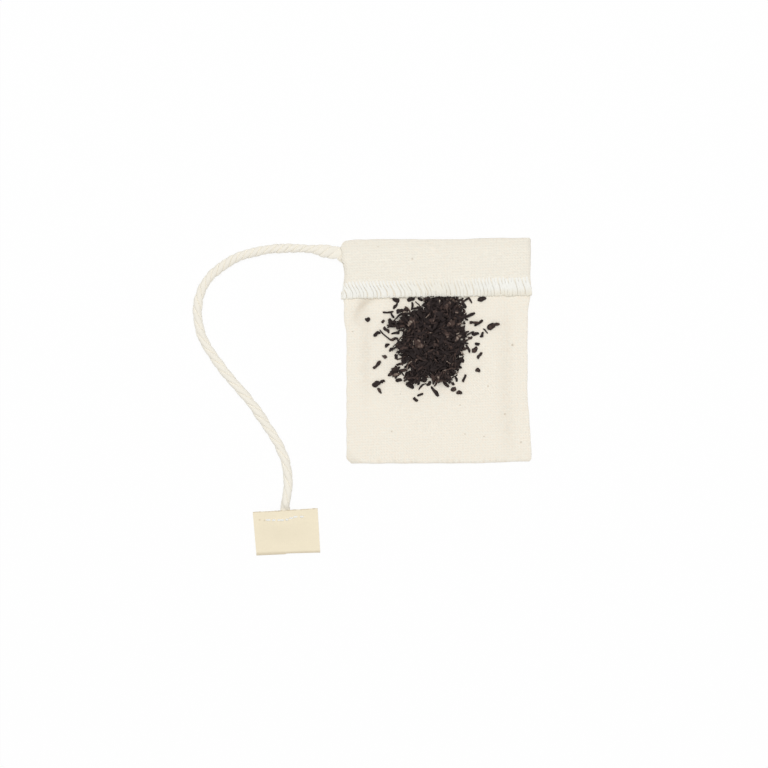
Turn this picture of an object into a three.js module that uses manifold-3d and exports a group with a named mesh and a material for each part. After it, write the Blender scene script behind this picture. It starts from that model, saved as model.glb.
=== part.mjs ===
// A reusable muslin tea bag, lying on its back with loose tea heaped on its front: a pouch folded
// from one cloth, the overlock stitching that binds its flap, the tea, a twisted cord sewn into the
// left side seam, and a folded tape tag on the cord's end.
// Millimetres. +Z is up, +Y runs towards the top fold and +X to the right.
// The origin lies under the middle of the pouch, on the surface that it rests on.
import * as THREE from "three";
import { mergeVertices } from "three/addons/utils/BufferGeometryUtils.js";
import Module from "manifold-3d";

const wasm = await Module();
wasm.setup();
const { clamp, degToRad, lerp, smoothstep } = THREE.MathUtils;

// Fits
const CLEARANCE = 0.3; // between pieces that lie against each other
const STEP_RUN = 0.02; // run of a step that stands almost upright
const CUT_SKIN = 0.05; // keeps two cut faces from lying in one plane
const CUT_REACH = 2; // how far a cutting block reaches past what it cuts

// Pouch
const CLOTH = 0.4; // one ply of muslin
const BAG_WIDTH = 74;
const BAG_LENGTH = 90; // bottom fold to top fold
const SEAM_ALLOWANCE = 7; // cloth turned in along each side seam
const BOTTOM_CORNER_RADIUS = 2.6;
const EDGE_ROLL = 1.2; // how far in from an edge the stack of plies rounds off
const EDGE_FACE = 0.6; // share of the stack's height that is left at the very edge
const FOLD_LAND = 0.6; // pressed cloth between a fold's round and the pocket
const POCKET_CROWN = 0.8; // how much the front panel stands up in the middle

// Flap
const FLAP_DROP = 23.2; // top fold to the flap's cut edge
const FLAP_FLARE = 0.9; // how far the flap stands out past each side of the pouch
const LOOSE_MARGIN = 0.7; // loose flap above the overlock, before the side seams hold it
const MOUTH_SETBACK = 4; // from the flap's loose border up to the edge of the front panel

// Overlock stitching on the flap's cut edge
const OVERLOCK_WIDTH = 6; // how far the stitches reach up from the cut edge
const OVERLOCK_THREAD = 0.35; // thread that lies on each face of the flap
const OVERLOCK_RIDGE = 0.35; // height of a stitch over the hollow beside it
const OVERLOCK_PITCH = 1.28; // one stitch to the next
const OVERLOCK_LEAN = 1.7; // sideways lean of a stitch over the height of the band
const OVERLOCK_EDGE = 0.6; // thread wrapped round the cut edge
const OVERLOCK_END = 0.4; // thread past each side of the flap

// Loose tea
const TEA_X = -2.9;
const TEA_Y = 6.5;
const TEA_HALF_WIDTH = 15.2;
const TEA_HALF_LENGTH = 20.5;
const TEA_HEIGHT = 5;
const TEA_PEAK = 1.4; // above 1 the heap's flanks are hollow, like a cone's foot
const TEA_SQUARENESS = 2.6; // 2 makes the heap's outline an ellipse, more makes it squarer
const TEA_SINK = 1; // how far the heap reaches below the level of the surface, before it is cut clear
const TEA_UNDER_FLAP = 1.5; // how far the tea lifts the flap
const FLAP_LIFT_HALF_WIDTH = 27; // half the width of the flap that the tea lifts
const RIM_WAVES = [
  { count: 3, depth: 0.07, phase: 0.6 },
  { count: 7, depth: 0.06, phase: 2.0 },
]; // unevenness of the heap's outline
const SHARD_COUNT = 78;
const SHARD_WIDTH = 1.7;
const SHARD_THICKNESS = 0.9;
const SHARD_SHORTEST = 3.2;
const SHARD_LONGEST = 7.6;
const SHARD_LEAST_BOW = 0.1; // how far a shard's middle stands over its ends
const SHARD_MOST_BOW = 0.8;
const SHARD_TWISTS = [-0.8, 0.8]; // radians, from the middle to an end
const SHARD_TILTS = [-0.3, 0.3]; // radians
const SHARD_TAPER = 0.6; // share of its width that a shard loses at its ends
const SHARD_SPREAD = 0.97; // share of the way to the rim where the outermost shards lie

// Cord
const CORD_DIAMETER = 3.8;
const CORD_SIDES = 8;
const CORD_STEP = 2 * CORD_DIAMETER;
const CORD_DROP = 5.4; // top fold to the middle of the cord, where it leaves the side seam
const CORD_SEWN_WIDTH = 6.2; // the cord pressed flat in the seam
const CORD_SEAM_RELAX = 11; // length over which it rounds out again after the seam
const CORD_SEAM_MARGIN = 2; // cloth between the cord's end and the pocket
// The cord's middle line from the seam to the tag's top edge, as steps across and up from the seam
const CORD_ROUTE = [
  [0, 0], [-6.2, 0.4], [-13.4, 1.1], [-20.6, 1.4], [-27.8, 1.1], [-34.9, -0.1], [-41.9, -2.2],
  [-48, -5.7], [-53.4, -10.4], [-56.5, -15.7], [-58, -22.2], [-57.5, -28.8], [-55.8, -35],
  [-52.5, -40.6], [-48.4, -46.2], [-43.8, -52], [-39, -57.5], [-34.4, -63.5], [-30.3, -69.5],
  [-26.4, -75.5], [-23.5, -81.8], [-22, -88.2], [-21.8, -94.2], [-22.7, -100], [-23, -103.2],
];

// Tag
const TAPE = 0.35; // one leaf of the folded tape
const TAG_WIDTH = 26;
const TAG_LENGTH = 17.4; // cut edges to fold
const TAG_TURN = degToRad(3.4);
const TAG_LEAF_GAP = 0.3; // between the leaves where nothing parts them
const TAG_FOLD = 0.8; // tape turned round at the fold
const TAG_TUCK = 5; // how far the cord's end reaches in between the leaves
const TAG_CORD_WIDTH = 5.6; // the cord's end, pressed flat between the leaves
const TAG_CORD_THICKNESS = 1.2;
const TAG_CORD_RELAX = 4; // length over which the cord rounds out before the tag
const TAG_SLOPE = 5; // width of the rise where the upper leaf lifts over the cord's end

// Stitching on the tag
const STITCH_THREAD = 0.4;
const STITCH_INSET = 3.3; // below the tag's cut edges
const STITCH_LEFT = -7.8;
const STITCH_RIGHT = 7.4;
const STITCH_PITCH = 1.9;
const STITCH_DIP = 0.6; // share of the thread's height lost where it dips into the tape
const STITCH_SIDES = 6;
const STITCH_SAMPLES = 4; // sections in one stitch

// Facets: steps across and along each surface
const PANEL_COLUMNS = 14;
const FRONT_ROWS = 9;
const FLAP_ROWS = 5;
const POCKET_COLUMNS = 10;
const POCKET_ROWS = 8;
const MOUTH_ROWS = 2;
const SLIT_ROWS = 3;
const OVERLOCK_ROWS = 2;
const ROOM_COLUMNS = 18;
const ROOM_ROWS = 20;
const HEAP_SECTORS = 30;
const HEAP_RINGS = 12;
const TAG_COLUMNS = 14;
const TAG_ROWS = 5;
const ROLL_SHARES = [0, 0.2, 0.55, 1]; // where a rounded edge has its facets
const MERGE = 1e-4; // vertices closer than this are one

// Places worked out from the sizes above
const SEAM_STACK = 4 * CLOTH; // back, two turned-in plies and front
const POCKET_HALF_WIDTH = BAG_WIDTH / 2 - SEAM_ALLOWANCE;
const TOP = BAG_LENGTH / 2;
const BOTTOM = -BAG_LENGTH / 2;
const FLAP_EDGE = TOP - FLAP_DROP;
const LOOSE_TOP = FLAP_EDGE + OVERLOCK_WIDTH + LOOSE_MARGIN;
const MOUTH = LOOSE_TOP + MOUTH_SETBACK;
const POCKET_END = EDGE_ROLL + FOLD_LAND;
const FLAP_HALF_WIDTH = BAG_WIDTH / 2 + FLAP_FLARE;
const UNDER_FLAP = CLEARANCE + OVERLOCK_THREAD + CLEARANCE; // room for the stitches' lower half
const SEAM_X = -FLAP_HALF_WIDTH;
const SEAM_Y = TOP - CORD_DROP;
const CORD_TUCK = SEAM_ALLOWANCE - CORD_SEAM_MARGIN;
const TAG_GAP = TAG_CORD_THICKNESS + 2 * CLEARANCE; // between the leaves at the cord's end

// Values from low to high in a number of equal steps.
function evenly(low, high, steps) {
  return Array.from({ length: steps + 1 }, (_, i) => lerp(low, high, i / steps));
}

// 1 in the middle, falling smoothly to 0 at a distance of 1.
function swell(distance) {
  return clamp(1 - distance * distance, 0, 1) ** 2;
}

// Share of a stack's height that is left at a distance in from its rounded edge.
function rollShare(inset) {
  const outside = 1 - clamp(inset / EDGE_ROLL, 0, 1);
  return lerp(EDGE_FACE, 1, Math.sqrt(1 - outside * outside));
}

// Geometry and solids

// A closed block on a grid, between a lower and an upper surface. Columns are shares of the half width.
function block(columns, rows, halfWidth, lower, upper) {
  const geometry = new THREE.BoxGeometry(1, 1, 1, columns.length - 1, rows.length - 1, 1);
  const position = geometry.attributes.position;
  for (let i = 0; i < position.count; i++) {
    const column = Math.round((position.getX(i) + 0.5) * (columns.length - 1));
    const row = Math.round((position.getY(i) + 0.5) * (rows.length - 1));
    const y = rows[row];
    const x = columns[column] * halfWidth(y);
    const z = position.getZ(i) > 0 ? upper(x, y) : lower(x, y);
    position.setXYZ(i, x, y, z);
  }
  return geometry;
}

// A closed bar laid along a curve, with a section at each station, a distance along the curve.
function bar(curve, stations, sides, halfWidth, halfHeight) {
  const corner = (i) => 2 * Math.PI * (i + 0.5) / sides;
  const ring = Array.from({ length: sides }, (_, i) => {
    return new THREE.Vector2(Math.cos(corner(i)), Math.sin(corner(i)));
  });
  const steps = stations.length - 1;
  const geometry = new THREE.ExtrudeGeometry(new THREE.Shape(ring), { depth: 1, steps, bevelEnabled: false });
  const position = geometry.attributes.position;
  const length = curve.getLength();
  for (let i = 0; i < position.count; i++) {
    const station = stations[Math.round(position.getZ(i) * steps)];
    const share = clamp(station / length, 0, 1);
    const tangent = curve.getTangentAt(share);
    const across = new THREE.Vector3(-tangent.y, tangent.x, 0).normalize();
    const point = curve.getPointAt(share).addScaledVector(across, position.getX(i) * halfWidth(station));
    point.z += position.getY(i) * halfHeight(station);
    position.setXYZ(i, point.x, point.y, point.z);
  }
  return geometry;
}

function solid(geometry) {
  const bare = geometry.clone();
  bare.deleteAttribute("normal");
  bare.deleteAttribute("uv");
  const merged = mergeVertices(bare, MERGE);
  const triVerts = new Uint32Array(merged.index.array);
  return new wasm.Manifold(
    new wasm.Mesh({ numProp: 3, vertProperties: merged.attributes.position.array, triVerts }),
  );
}

function geometryOf(manifold) {
  const mesh = manifold.getMesh();
  const geometry = new THREE.BufferGeometry();
  geometry.setAttribute("position", new THREE.BufferAttribute(mesh.vertProperties, 3));
  geometry.setIndex(new THREE.BufferAttribute(mesh.triVerts, 1));
  geometry.computeVertexNormals();
  return geometry;
}

function finish(color, roughness) {
  return new THREE.MeshStandardMaterial({ color, roughness, metalness: 0 });
}

function piece(name, geometry, material) {
  const mesh = new THREE.Mesh(geometry, material);
  mesh.name = name;
  return mesh;
}

// Surfaces of the pouch

function pouchHalfWidth(y) {
  const rise = clamp(BOTTOM_CORNER_RADIUS - (y - BOTTOM), 0, BOTTOM_CORNER_RADIUS);
  const corner = BOTTOM_CORNER_RADIUS - Math.sqrt(BOTTOM_CORNER_RADIUS ** 2 - rise ** 2);
  return y > FLAP_EDGE ? FLAP_HALF_WIDTH : BAG_WIDTH / 2 - corner;
}

function frontTop(x, y) {
  return SEAM_STACK + POCKET_CROWN * swell(x / POCKET_HALF_WIDTH) * swell(y / TOP);
}

function flapUnder(x, y) {
  const dropped = clamp((TOP - y) / FLAP_DROP, 0, 1);
  const lift = TEA_UNDER_FLAP * swell((x - TEA_X) / FLAP_LIFT_HALF_WIDTH) * smoothstep(dropped, 0, 1);
  return frontTop(x, y) + UNDER_FLAP + lift;
}

function flapTop(x, y) {
  return flapUnder(x, y) + CLOTH;
}

function underside(x, y) {
  const inset = Math.min(pouchHalfWidth(y) - Math.abs(x), y - BOTTOM, TOP - y);
  return SEAM_STACK / 2 * (1 - rollShare(inset));
}

// The outer upper surface: the front panel, then the flap, rounded off where they end in a fold or a seam.
function outerTop(x, y) {
  if (y > FLAP_EDGE) {
    return lerp(SEAM_STACK / 2, flapTop(x, y), rollShare(TOP - y));
  }
  const inset = Math.min(pouchHalfWidth(y) - Math.abs(x), y - BOTTOM);
  return lerp(SEAM_STACK / 2, frontTop(x, y), rollShare(inset));
}

// Pouch: one cloth folded at the bottom and at the top, with an open pocket under the flap

const ROLL_INSETS = ROLL_SHARES.map((share) => share * EDGE_ROLL);

function pouchColumns() {
  const insets = ROLL_INSETS.map((inset) => 1 - inset / (BAG_WIDTH / 2));
  const inner = evenly(-insets.at(-1), insets.at(-1), PANEL_COLUMNS).slice(1, -1);
  return [...insets.map((share) => -share), ...inner, ...insets.toReversed()];
}

function pouchRows() {
  const bottom = ROLL_INSETS.map((inset) => BOTTOM + inset);
  const top = ROLL_INSETS.map((inset) => TOP - inset).toReversed();
  const corner = BOTTOM + Math.max(BOTTOM_CORNER_RADIUS, EDGE_ROLL + STEP_RUN);
  const front = evenly(corner, FLAP_EDGE, FRONT_ROWS);
  const flap = evenly(FLAP_EDGE + STEP_RUN, top[0], FLAP_ROWS).slice(0, -1);
  return [...bottom, ...front, ...flap, ...top];
}

function pocketTop(x, y) {
  return y > MOUTH ? flapUnder(x, y) - CUT_SKIN : frontTop(x, y) - CLOTH;
}

function makePocket() {
  const rows = [
    ...evenly(BOTTOM + POCKET_END, MOUTH, POCKET_ROWS),
    ...evenly(MOUTH + STEP_RUN, TOP - POCKET_END, MOUTH_ROWS),
  ];
  return block(evenly(-1, 1, POCKET_COLUMNS), rows, () => POCKET_HALF_WIDTH, () => CLOTH, pocketTop);
}

// The slit between the front panel and the flap: open at both sides along the flap's loose border.
function makeFlapSlit() {
  const halfWidth = (y) => (y > LOOSE_TOP ? POCKET_HALF_WIDTH - CLOTH : FLAP_HALF_WIDTH + CUT_REACH);
  const rows = [
    ...evenly(FLAP_EDGE - CUT_REACH, LOOSE_TOP, SLIT_ROWS),
    ...evenly(LOOSE_TOP + STEP_RUN, MOUTH + CLOTH, MOUTH_ROWS),
  ];
  const lower = (x, y) => frontTop(x, y) + CUT_SKIN;
  return block(evenly(-1, 1, PANEL_COLUMNS), rows, halfWidth, lower, flapUnder);
}

// Heights of the slot in the side seam that holds the cord's end
function cordSlotLow() {
  return underside(SEAM_X, SEAM_Y) + CLOTH;
}

function cordSlotHigh() {
  return flapUnder(SEAM_X, SEAM_Y);
}

function makeCordSlot() {
  const depth = CORD_TUCK + CLEARANCE + CUT_REACH;
  const width = CORD_SEWN_WIDTH + 2 * CLEARANCE;
  const slot = new THREE.BoxGeometry(depth, width, cordSlotHigh() - cordSlotLow());
  const middle = (cordSlotLow() + cordSlotHigh()) / 2;
  return slot.translate(SEAM_X - CUT_REACH + depth / 2, SEAM_Y, middle);
}

function makePouch() {
  const outer = block(pouchColumns(), pouchRows(), pouchHalfWidth, underside, outerTop);
  return geometryOf(
    solid(outer)
      .subtract(solid(makePocket()))
      .subtract(solid(makeFlapSlit()))
      .subtract(solid(makeCordSlot())),
  );
}

// Overlock: slanting ridges of thread on both faces of the flap, wrapped round its cut edge

const OVERLOCK_LOW = FLAP_EDGE - CLEARANCE - OVERLOCK_EDGE;
const OVERLOCK_HIGH = FLAP_EDGE + OVERLOCK_WIDTH;
const OVERLOCK_HALF_WIDTH = FLAP_HALF_WIDTH + OVERLOCK_END;

// 1 on the crest of a stitch and 0 in the hollow between two.
function stitchCrest(x, y) {
  const lean = OVERLOCK_LEAN * (y - OVERLOCK_LOW) / (OVERLOCK_HIGH - OVERLOCK_LOW);
  return 0.5 + 0.5 * Math.cos(2 * Math.PI * (x + lean) / OVERLOCK_PITCH);
}

function overlockTop(x, y) {
  return flapTop(x, y) + CLEARANCE + OVERLOCK_THREAD + OVERLOCK_RIDGE * stitchCrest(x, y);
}

function overlockUnder(x, y) {
  return flapUnder(x, y) - CLEARANCE - OVERLOCK_THREAD;
}

function makeOverlock() {
  const halfStitches = Math.round(4 * OVERLOCK_HALF_WIDTH / OVERLOCK_PITCH);
  const band = block(
    evenly(-1, 1, halfStitches),
    evenly(OVERLOCK_LOW, OVERLOCK_HIGH, OVERLOCK_ROWS),
    () => OVERLOCK_HALF_WIDTH,
    overlockUnder,
    overlockTop,
  );
  const flapEdge = block(
    evenly(-1, 1, ROOM_COLUMNS),
    evenly(FLAP_EDGE - CLEARANCE, OVERLOCK_HIGH + CUT_REACH, OVERLOCK_ROWS),
    () => OVERLOCK_HALF_WIDTH + CUT_REACH,
    (x, y) => flapUnder(x, y) - CLEARANCE,
    (x, y) => flapTop(x, y) + CLEARANCE,
  );
  return geometryOf(solid(band).subtract(solid(flapEdge)));
}

// Loose tea: a low heap bristling with curled shards of leaf, cut clear of the cloth under and over it

// A repeatable number from 0 to 1 for each shard and each way in which shards differ.
function chance(index, way) {
  const mixed = 43758.5453 * Math.sin(12.9898 * (index + 1) + 78.233 * way);
  return mixed - Math.floor(mixed);
}

function rimShare(angle) {
  const power = Math.abs(Math.cos(angle)) ** TEA_SQUARENESS + Math.abs(Math.sin(angle)) ** TEA_SQUARENESS;
  const waves = RIM_WAVES.map(({ count, depth, phase }) => depth * Math.sin(count * angle + phase));
  const uneven = waves.reduce((sum, wave) => sum + wave, 1);
  return uneven * power ** (-1 / TEA_SQUARENESS);
}

// A point of the heap's surface at a share of the way from its middle to its rim.
function heapPoint(share, angle) {
  const reach = share * rimShare(angle);
  const x = TEA_X + TEA_HALF_WIDTH * reach * Math.cos(angle);
  const y = TEA_Y + TEA_HALF_LENGTH * reach * Math.sin(angle);
  const rise = TEA_HEIGHT * Math.sqrt(1 - share * share) ** TEA_PEAK;
  return new THREE.Vector3(x, y, frontTop(x, y) + CLEARANCE + rise);
}

function makeHeapCore() {
  const geometry = new THREE.SphereGeometry(1, HEAP_SECTORS, HEAP_RINGS).rotateX(Math.PI / 2);
  const position = geometry.attributes.position;
  for (let i = 0; i < position.count; i++) {
    const share = Math.min(1, Math.hypot(position.getX(i), position.getY(i)));
    const point = heapPoint(share, Math.atan2(position.getY(i), position.getX(i)));
    const height = position.getZ(i) < 0 ? TEA_SINK * position.getZ(i) : point.z;
    position.setXYZ(i, point.x, point.y, height);
  }
  return geometry;
}

// A flat leaf shard, narrower at both ends, twisted about its length and bowed upwards.
function makeShard(length, twist, bow) {
  const geometry = new THREE.BoxGeometry(length, SHARD_WIDTH, SHARD_THICKNESS, 2, 1, 1);
  const position = geometry.attributes.position;
  for (let i = 0; i < position.count; i++) {
    const along = 2 * position.getX(i) / length;
    const narrow = 1 - SHARD_TAPER * along * along;
    const point = new THREE.Vector3(0, position.getY(i) * narrow, position.getZ(i) * narrow);
    point.applyAxisAngle(new THREE.Vector3(1, 0, 0), twist * along);
    position.setXYZ(i, position.getX(i), point.y, point.z + bow * (1 - along * along));
  }
  return geometry;
}

// Where a shard lies: they spread over the heap on a sunflower spiral.
function shardPlace(index) {
  const golden = Math.PI * (3 - Math.sqrt(5));
  return heapPoint(SHARD_SPREAD * Math.sqrt((index + 0.5) / SHARD_COUNT), index * golden);
}

// A shard in its place, turned its own way.
function layShard(index) {
  const place = shardPlace(index);
  const length = lerp(SHARD_SHORTEST, SHARD_LONGEST, chance(index, 1));
  const twist = lerp(...SHARD_TWISTS, chance(index, 2));
  const bow = lerp(SHARD_LEAST_BOW, SHARD_MOST_BOW, chance(index, 3));
  return makeShard(length, twist, bow)
    .rotateY(lerp(...SHARD_TILTS, chance(index, 4)))
    .rotateZ(2 * Math.PI * chance(index, 5))
    .translate(place.x, place.y, place.z);
}

// What the tea has to stay clear of: the front panel under it, and the flap's bound edge over it
const TEA_WALL = OVERLOCK_LOW - CLEARANCE;

function makePanelRoom() {
  const rows = evenly(BOTTOM, TOP, ROOM_ROWS);
  const upper = (x, y) => frontTop(x, y) + CLEARANCE;
  return block(evenly(-1, 1, ROOM_COLUMNS), rows, () => BAG_WIDTH / 2, () => -CUT_REACH, upper);
}

function makeFlapRoom(lower) {
  const rows = evenly(TEA_WALL, TOP, FLAP_ROWS);
  const above = flapTop(TEA_X, FLAP_EDGE) + 2 * TEA_HEIGHT;
  return block(evenly(-1, 1, ROOM_COLUMNS), rows, () => BAG_WIDTH / 2, lower, () => above);
}

// Shards bristle in front of the flap, and the tea under it is pressed flat.
function makeTea() {
  const core = solid(makeHeapCore());
  let bristle = core;
  for (let i = 0; i < SHARD_COUNT; i++) {
    bristle = shardPlace(i).y < TEA_WALL ? bristle.add(solid(layShard(i))) : bristle;
  }
  const inFront = bristle.subtract(solid(makeFlapRoom(() => -CUT_REACH)));
  const pressed = core.subtract(solid(makeFlapRoom((x, y) => overlockUnder(x, y) - CLEARANCE)));
  return geometryOf(inFront.add(pressed).subtract(solid(makePanelRoom())));
}

// Cord: round along its run, pressed flat where it is sewn into the side seam and into the tag

const TAG_TOP = new THREE.Vector2(SEAM_X, SEAM_Y).add(new THREE.Vector2(...CORD_ROUTE.at(-1)));
const TAG_CORD_MIDDLE = TAPE + TAG_GAP / 2;

function cordCurve() {
  const slotMiddle = (cordSlotLow() + cordSlotHigh()) / 2;
  const run = CORD_ROUTE.map(([x, y]) => new THREE.Vector3(SEAM_X + x, SEAM_Y + y, CORD_DIAMETER / 2));
  run[0].z = slotMiddle;
  run.at(-1).z = TAG_CORD_MIDDLE;
  const sewnEnd = new THREE.Vector3(SEAM_X + CORD_TUCK, SEAM_Y, slotMiddle);
  const tagEnd = new THREE.Vector3(
    TAG_TOP.x + TAG_TUCK * Math.sin(TAG_TURN),
    TAG_TOP.y - TAG_TUCK * Math.cos(TAG_TURN),
    TAG_CORD_MIDDLE,
  );
  return new THREE.CatmullRomCurve3([sewnEnd, ...run, tagEnd]);
}

function makeCord() {
  const curve = cordCurve();
  const length = curve.getLength();
  const relaxed = CORD_TUCK + CORD_SEAM_RELAX;
  const pressed = length - TAG_TUCK - TAG_CORD_RELAX;
  const middle = evenly(relaxed, pressed, Math.ceil((pressed - relaxed) / CORD_STEP));
  const stations = [0, CORD_TUCK, ...middle, length - TAG_TUCK, length];
  const seamShare = (s) => 1 - smoothstep(s, CORD_TUCK, relaxed);
  const tagShare = (s) => smoothstep(s, pressed, length - TAG_TUCK);
  const sewnHeight = cordSlotHigh() - cordSlotLow() - 2 * CLEARANCE;
  const size = (s, atSeam, atTag) => {
    return lerp(lerp(CORD_DIAMETER, atSeam, seamShare(s)), atTag, tagShare(s)) / 2;
  };
  return bar(
    curve,
    stations,
    CORD_SIDES,
    (s) => size(s, CORD_SEWN_WIDTH, TAG_CORD_WIDTH),
    (s) => size(s, sewnHeight, TAG_CORD_THICKNESS),
  );
}

// Tag: a tape folded at its lower edge, with the cord's end between its two leaves.
// Its own frame has its origin in the middle of the cut edges, with the fold at -Y.

function tagTop(x, y) {
  const besides = TAG_CORD_WIDTH / 2 + CLEARANCE;
  const across = 1 - smoothstep(Math.abs(x), besides + CLEARANCE, besides + TAG_SLOPE);
  const beyond = TAG_TUCK + CLEARANCE;
  const along = 1 - smoothstep(-y, beyond + CLEARANCE, beyond + TAG_SLOPE);
  return 2 * TAPE + lerp(TAG_LEAF_GAP, TAG_GAP, across * along);
}

function tagOuterTop(x, y) {
  return lerp(TAPE, tagTop(x, y), rollShare(y + TAG_LENGTH));
}

function tagUnderside(x, y) {
  return TAPE * (1 - rollShare(y + TAG_LENGTH));
}

function makeTag() {
  const beyond = TAG_TUCK + 2 * CLEARANCE;
  const fold = ROLL_INSETS.map((inset) => inset - TAG_LENGTH);
  const rows = [...fold, ...evenly(-TAG_LENGTH + EDGE_ROLL, -beyond, TAG_ROWS).slice(1), 0];
  const columns = evenly(-1, 1, TAG_COLUMNS);
  const outer = block(columns, rows, () => TAG_WIDTH / 2, tagUnderside, tagOuterTop);
  const gapRows = [...evenly(TAG_FOLD - TAG_LENGTH, -beyond, TAG_ROWS), CUT_REACH];
  const gapTop = (x, y) => tagTop(x, y) - TAPE;
  const gap = block(columns, gapRows, () => TAG_WIDTH / 2 + CUT_REACH, () => TAPE, gapTop);
  return geometryOf(solid(outer).subtract(solid(gap)));
}

// A row of stitches: thread that swells over each stitch and thins where it dips into the tape.
function makeTagStitching() {
  const height = (x) => tagTop(x, -STITCH_INSET) + CLEARANCE + STITCH_THREAD / 2;
  const places = evenly(STITCH_LEFT, STITCH_RIGHT, 2 * TAG_COLUMNS);
  const curve = new THREE.CatmullRomCurve3(places.map((x) => new THREE.Vector3(x, -STITCH_INSET, height(x))));
  const length = curve.getLength();
  const stitches = Math.round(length / STITCH_PITCH);
  const half = (s) => STITCH_THREAD / 2 * (1 - STITCH_DIP * Math.cos(Math.PI * stitches * s / length) ** 2);
  return bar(curve, evenly(0, length, stitches * STITCH_SAMPLES), STITCH_SIDES, half, half);
}

// The whole tea bag

const muslin = finish("#f1ebde", 0.95);
const overlockThread = finish("#f1f0ea", 0.9);
const blackTea = finish("#352c29", 0.8);
const cottonCord = finish("#f0ebde", 0.95);
const cottonTape = finish("#f0e6cc", 0.85);
const sewingThread = finish("#f8f5ec", 0.8);

const tag = new THREE.Group();
tag.position.set(TAG_TOP.x, TAG_TOP.y, 0);
tag.rotation.z = TAG_TURN;
tag.add(
  piece("tag", makeTag(), cottonTape),
  piece("tag_stitching", makeTagStitching(), sewingThread),
);

const teaBag = new THREE.Group();
teaBag.add(
  piece("pouch", makePouch(), muslin),
  piece("flap_overlock", makeOverlock(), overlockThread),
  piece("loose_tea", makeTea(), blackTea),
  piece("cord", makeCord(), cottonCord),
  tag,
);

export default teaBag;
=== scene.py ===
"""A muslin tea bag lying on its back: a pouch folded from one cloth, the overlock stitching on its
flap, loose tea heaped on its front, a twisted cotton cord and a folded tape tag.

All sizes are metres. +Z is up, +Y runs towards the pouch's top fold and +X to the right.
"""

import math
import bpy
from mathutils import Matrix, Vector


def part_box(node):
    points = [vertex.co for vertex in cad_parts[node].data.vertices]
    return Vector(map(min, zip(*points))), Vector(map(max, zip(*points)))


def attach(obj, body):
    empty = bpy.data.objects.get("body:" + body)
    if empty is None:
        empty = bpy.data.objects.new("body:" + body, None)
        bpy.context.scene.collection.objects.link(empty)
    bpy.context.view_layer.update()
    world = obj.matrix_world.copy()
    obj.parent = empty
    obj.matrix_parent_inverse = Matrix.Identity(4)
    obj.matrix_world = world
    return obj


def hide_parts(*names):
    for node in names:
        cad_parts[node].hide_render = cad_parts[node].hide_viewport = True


bl_info = {
    "name": "Muslin Tea Bag",
    "version": (1, 0, 0),
    "blender": (4, 5, 0),
    "location": "View3D > Sidebar > Tea Bag",
    "description": "Makes the cloth, thread, tea, cord and tag of a muslin tea bag",
    "category": "Add Mesh",
}

import bpy
import numpy as np
from bpy.props import FloatProperty, FloatVectorProperty, IntProperty, PointerProperty

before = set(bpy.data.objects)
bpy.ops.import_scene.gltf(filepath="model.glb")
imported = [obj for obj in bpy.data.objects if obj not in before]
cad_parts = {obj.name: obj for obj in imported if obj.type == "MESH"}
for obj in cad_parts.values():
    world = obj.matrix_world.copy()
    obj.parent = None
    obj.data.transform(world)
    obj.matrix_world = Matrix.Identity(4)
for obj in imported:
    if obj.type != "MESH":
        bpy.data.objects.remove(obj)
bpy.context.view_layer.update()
POUCH_LOW, POUCH_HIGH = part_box("pouch")
BODY = "root"

MM = 0.001
UP = np.array((0.0, 0.0, 1.0))
RIGHT = np.array((1.0, 0.0, 0.0))
FORWARD = np.array((0.0, 1.0, 0.0))
FULL_TURN = 2 * math.pi

# The pouch's outline, a little uneven as sewn
BODY_LEFT = -36.1 * MM
SHOULDER_LEFT = -37.1 * MM
LEFT_WIDENS = (7 * MM, 13 * MM)
FLAP_LEFT_OUT = 0.3 * MM
FLAP_WIDENS = (18 * MM, 23 * MM)
BODY_RIGHT = 36 * MM
SHOULDER_RIGHT = 37.35 * MM
RIGHT_WIDENS = (14 * MM, 24 * MM)
FOOT_RIGHT = 37.5 * MM
FOOT_WIDENS = (-16 * MM, -42 * MM)
DENT = 0.35 * MM
DENT_PLACE = 30.5 * MM
DENT_HALF = 3.4 * MM
FLAP_FLARE = 0.8 * MM
RIGHT_FLARE_SHARE = 0.75
FLARE_DROP = 0.5 * MM
FLARE_HALF = 2.3 * MM
CORD_PULL = 0.65 * MM
CORD_PULL_STARTS = (36 * MM, 37.6 * MM)
CORD_PULL_ENDS = (45.4 * MM, 43.5 * MM)
CORD_TUG = 0.6 * MM
CORD_TUG_PLACE = 42.5 * MM
CORD_TUG_HALF = 0.8 * MM
BACK_TUG = 2 * MM
BACK_TUG_PLACE = 38.2 * MM
BACK_TUG_HALF = 1.15 * MM
BACK_TUG_RISE = 1.7 * MM
TOP_LINE = 44.45 * MM
TOP_RISE = 0.6 * MM
TOP_CLIMBS = (6 * MM, 27 * MM)
TOP_SAG = 0.95 * MM
TOP_SAGS = (-30 * MM, -40 * MM)
BOTTOM_LINE = -44.9 * MM
BOTTOM_RISE = 0.8 * MM
BOTTOM_CLIMBS = (12 * MM, 38 * MM)
BOTTOM_LEFT_CORNER = 1.9 * MM
BOTTOM_RIGHT_CORNER = 0.8 * MM
TOP_LEFT_CORNER = 0.5 * MM
TOP_RIGHT_CORNER = 0.4 * MM
EDGE_WAVE = 0.12 * MM

# The sewn band along the flap's cut edge, which arches over the tea and droops at its left end
BAND = 6.05 * MM
FLAP_ARCH = 0.2 * MM
ARCH_PLACE = 4 * MM
ARCH_HALF = 27 * MM
FLAP_DROOP = 0.36 * MM
DROOPS = (-6 * MM, -24 * MM)
BAND_LOW = -0.4 * MM
BAND_HIGH = 0.5 * MM
BAND_TILTS = (-34 * MM, 30 * MM)
BAND_EASE = 14 * MM
EDGE_CURL = 0.12 * MM
CURL_LENGTH = 2 * MM

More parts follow.
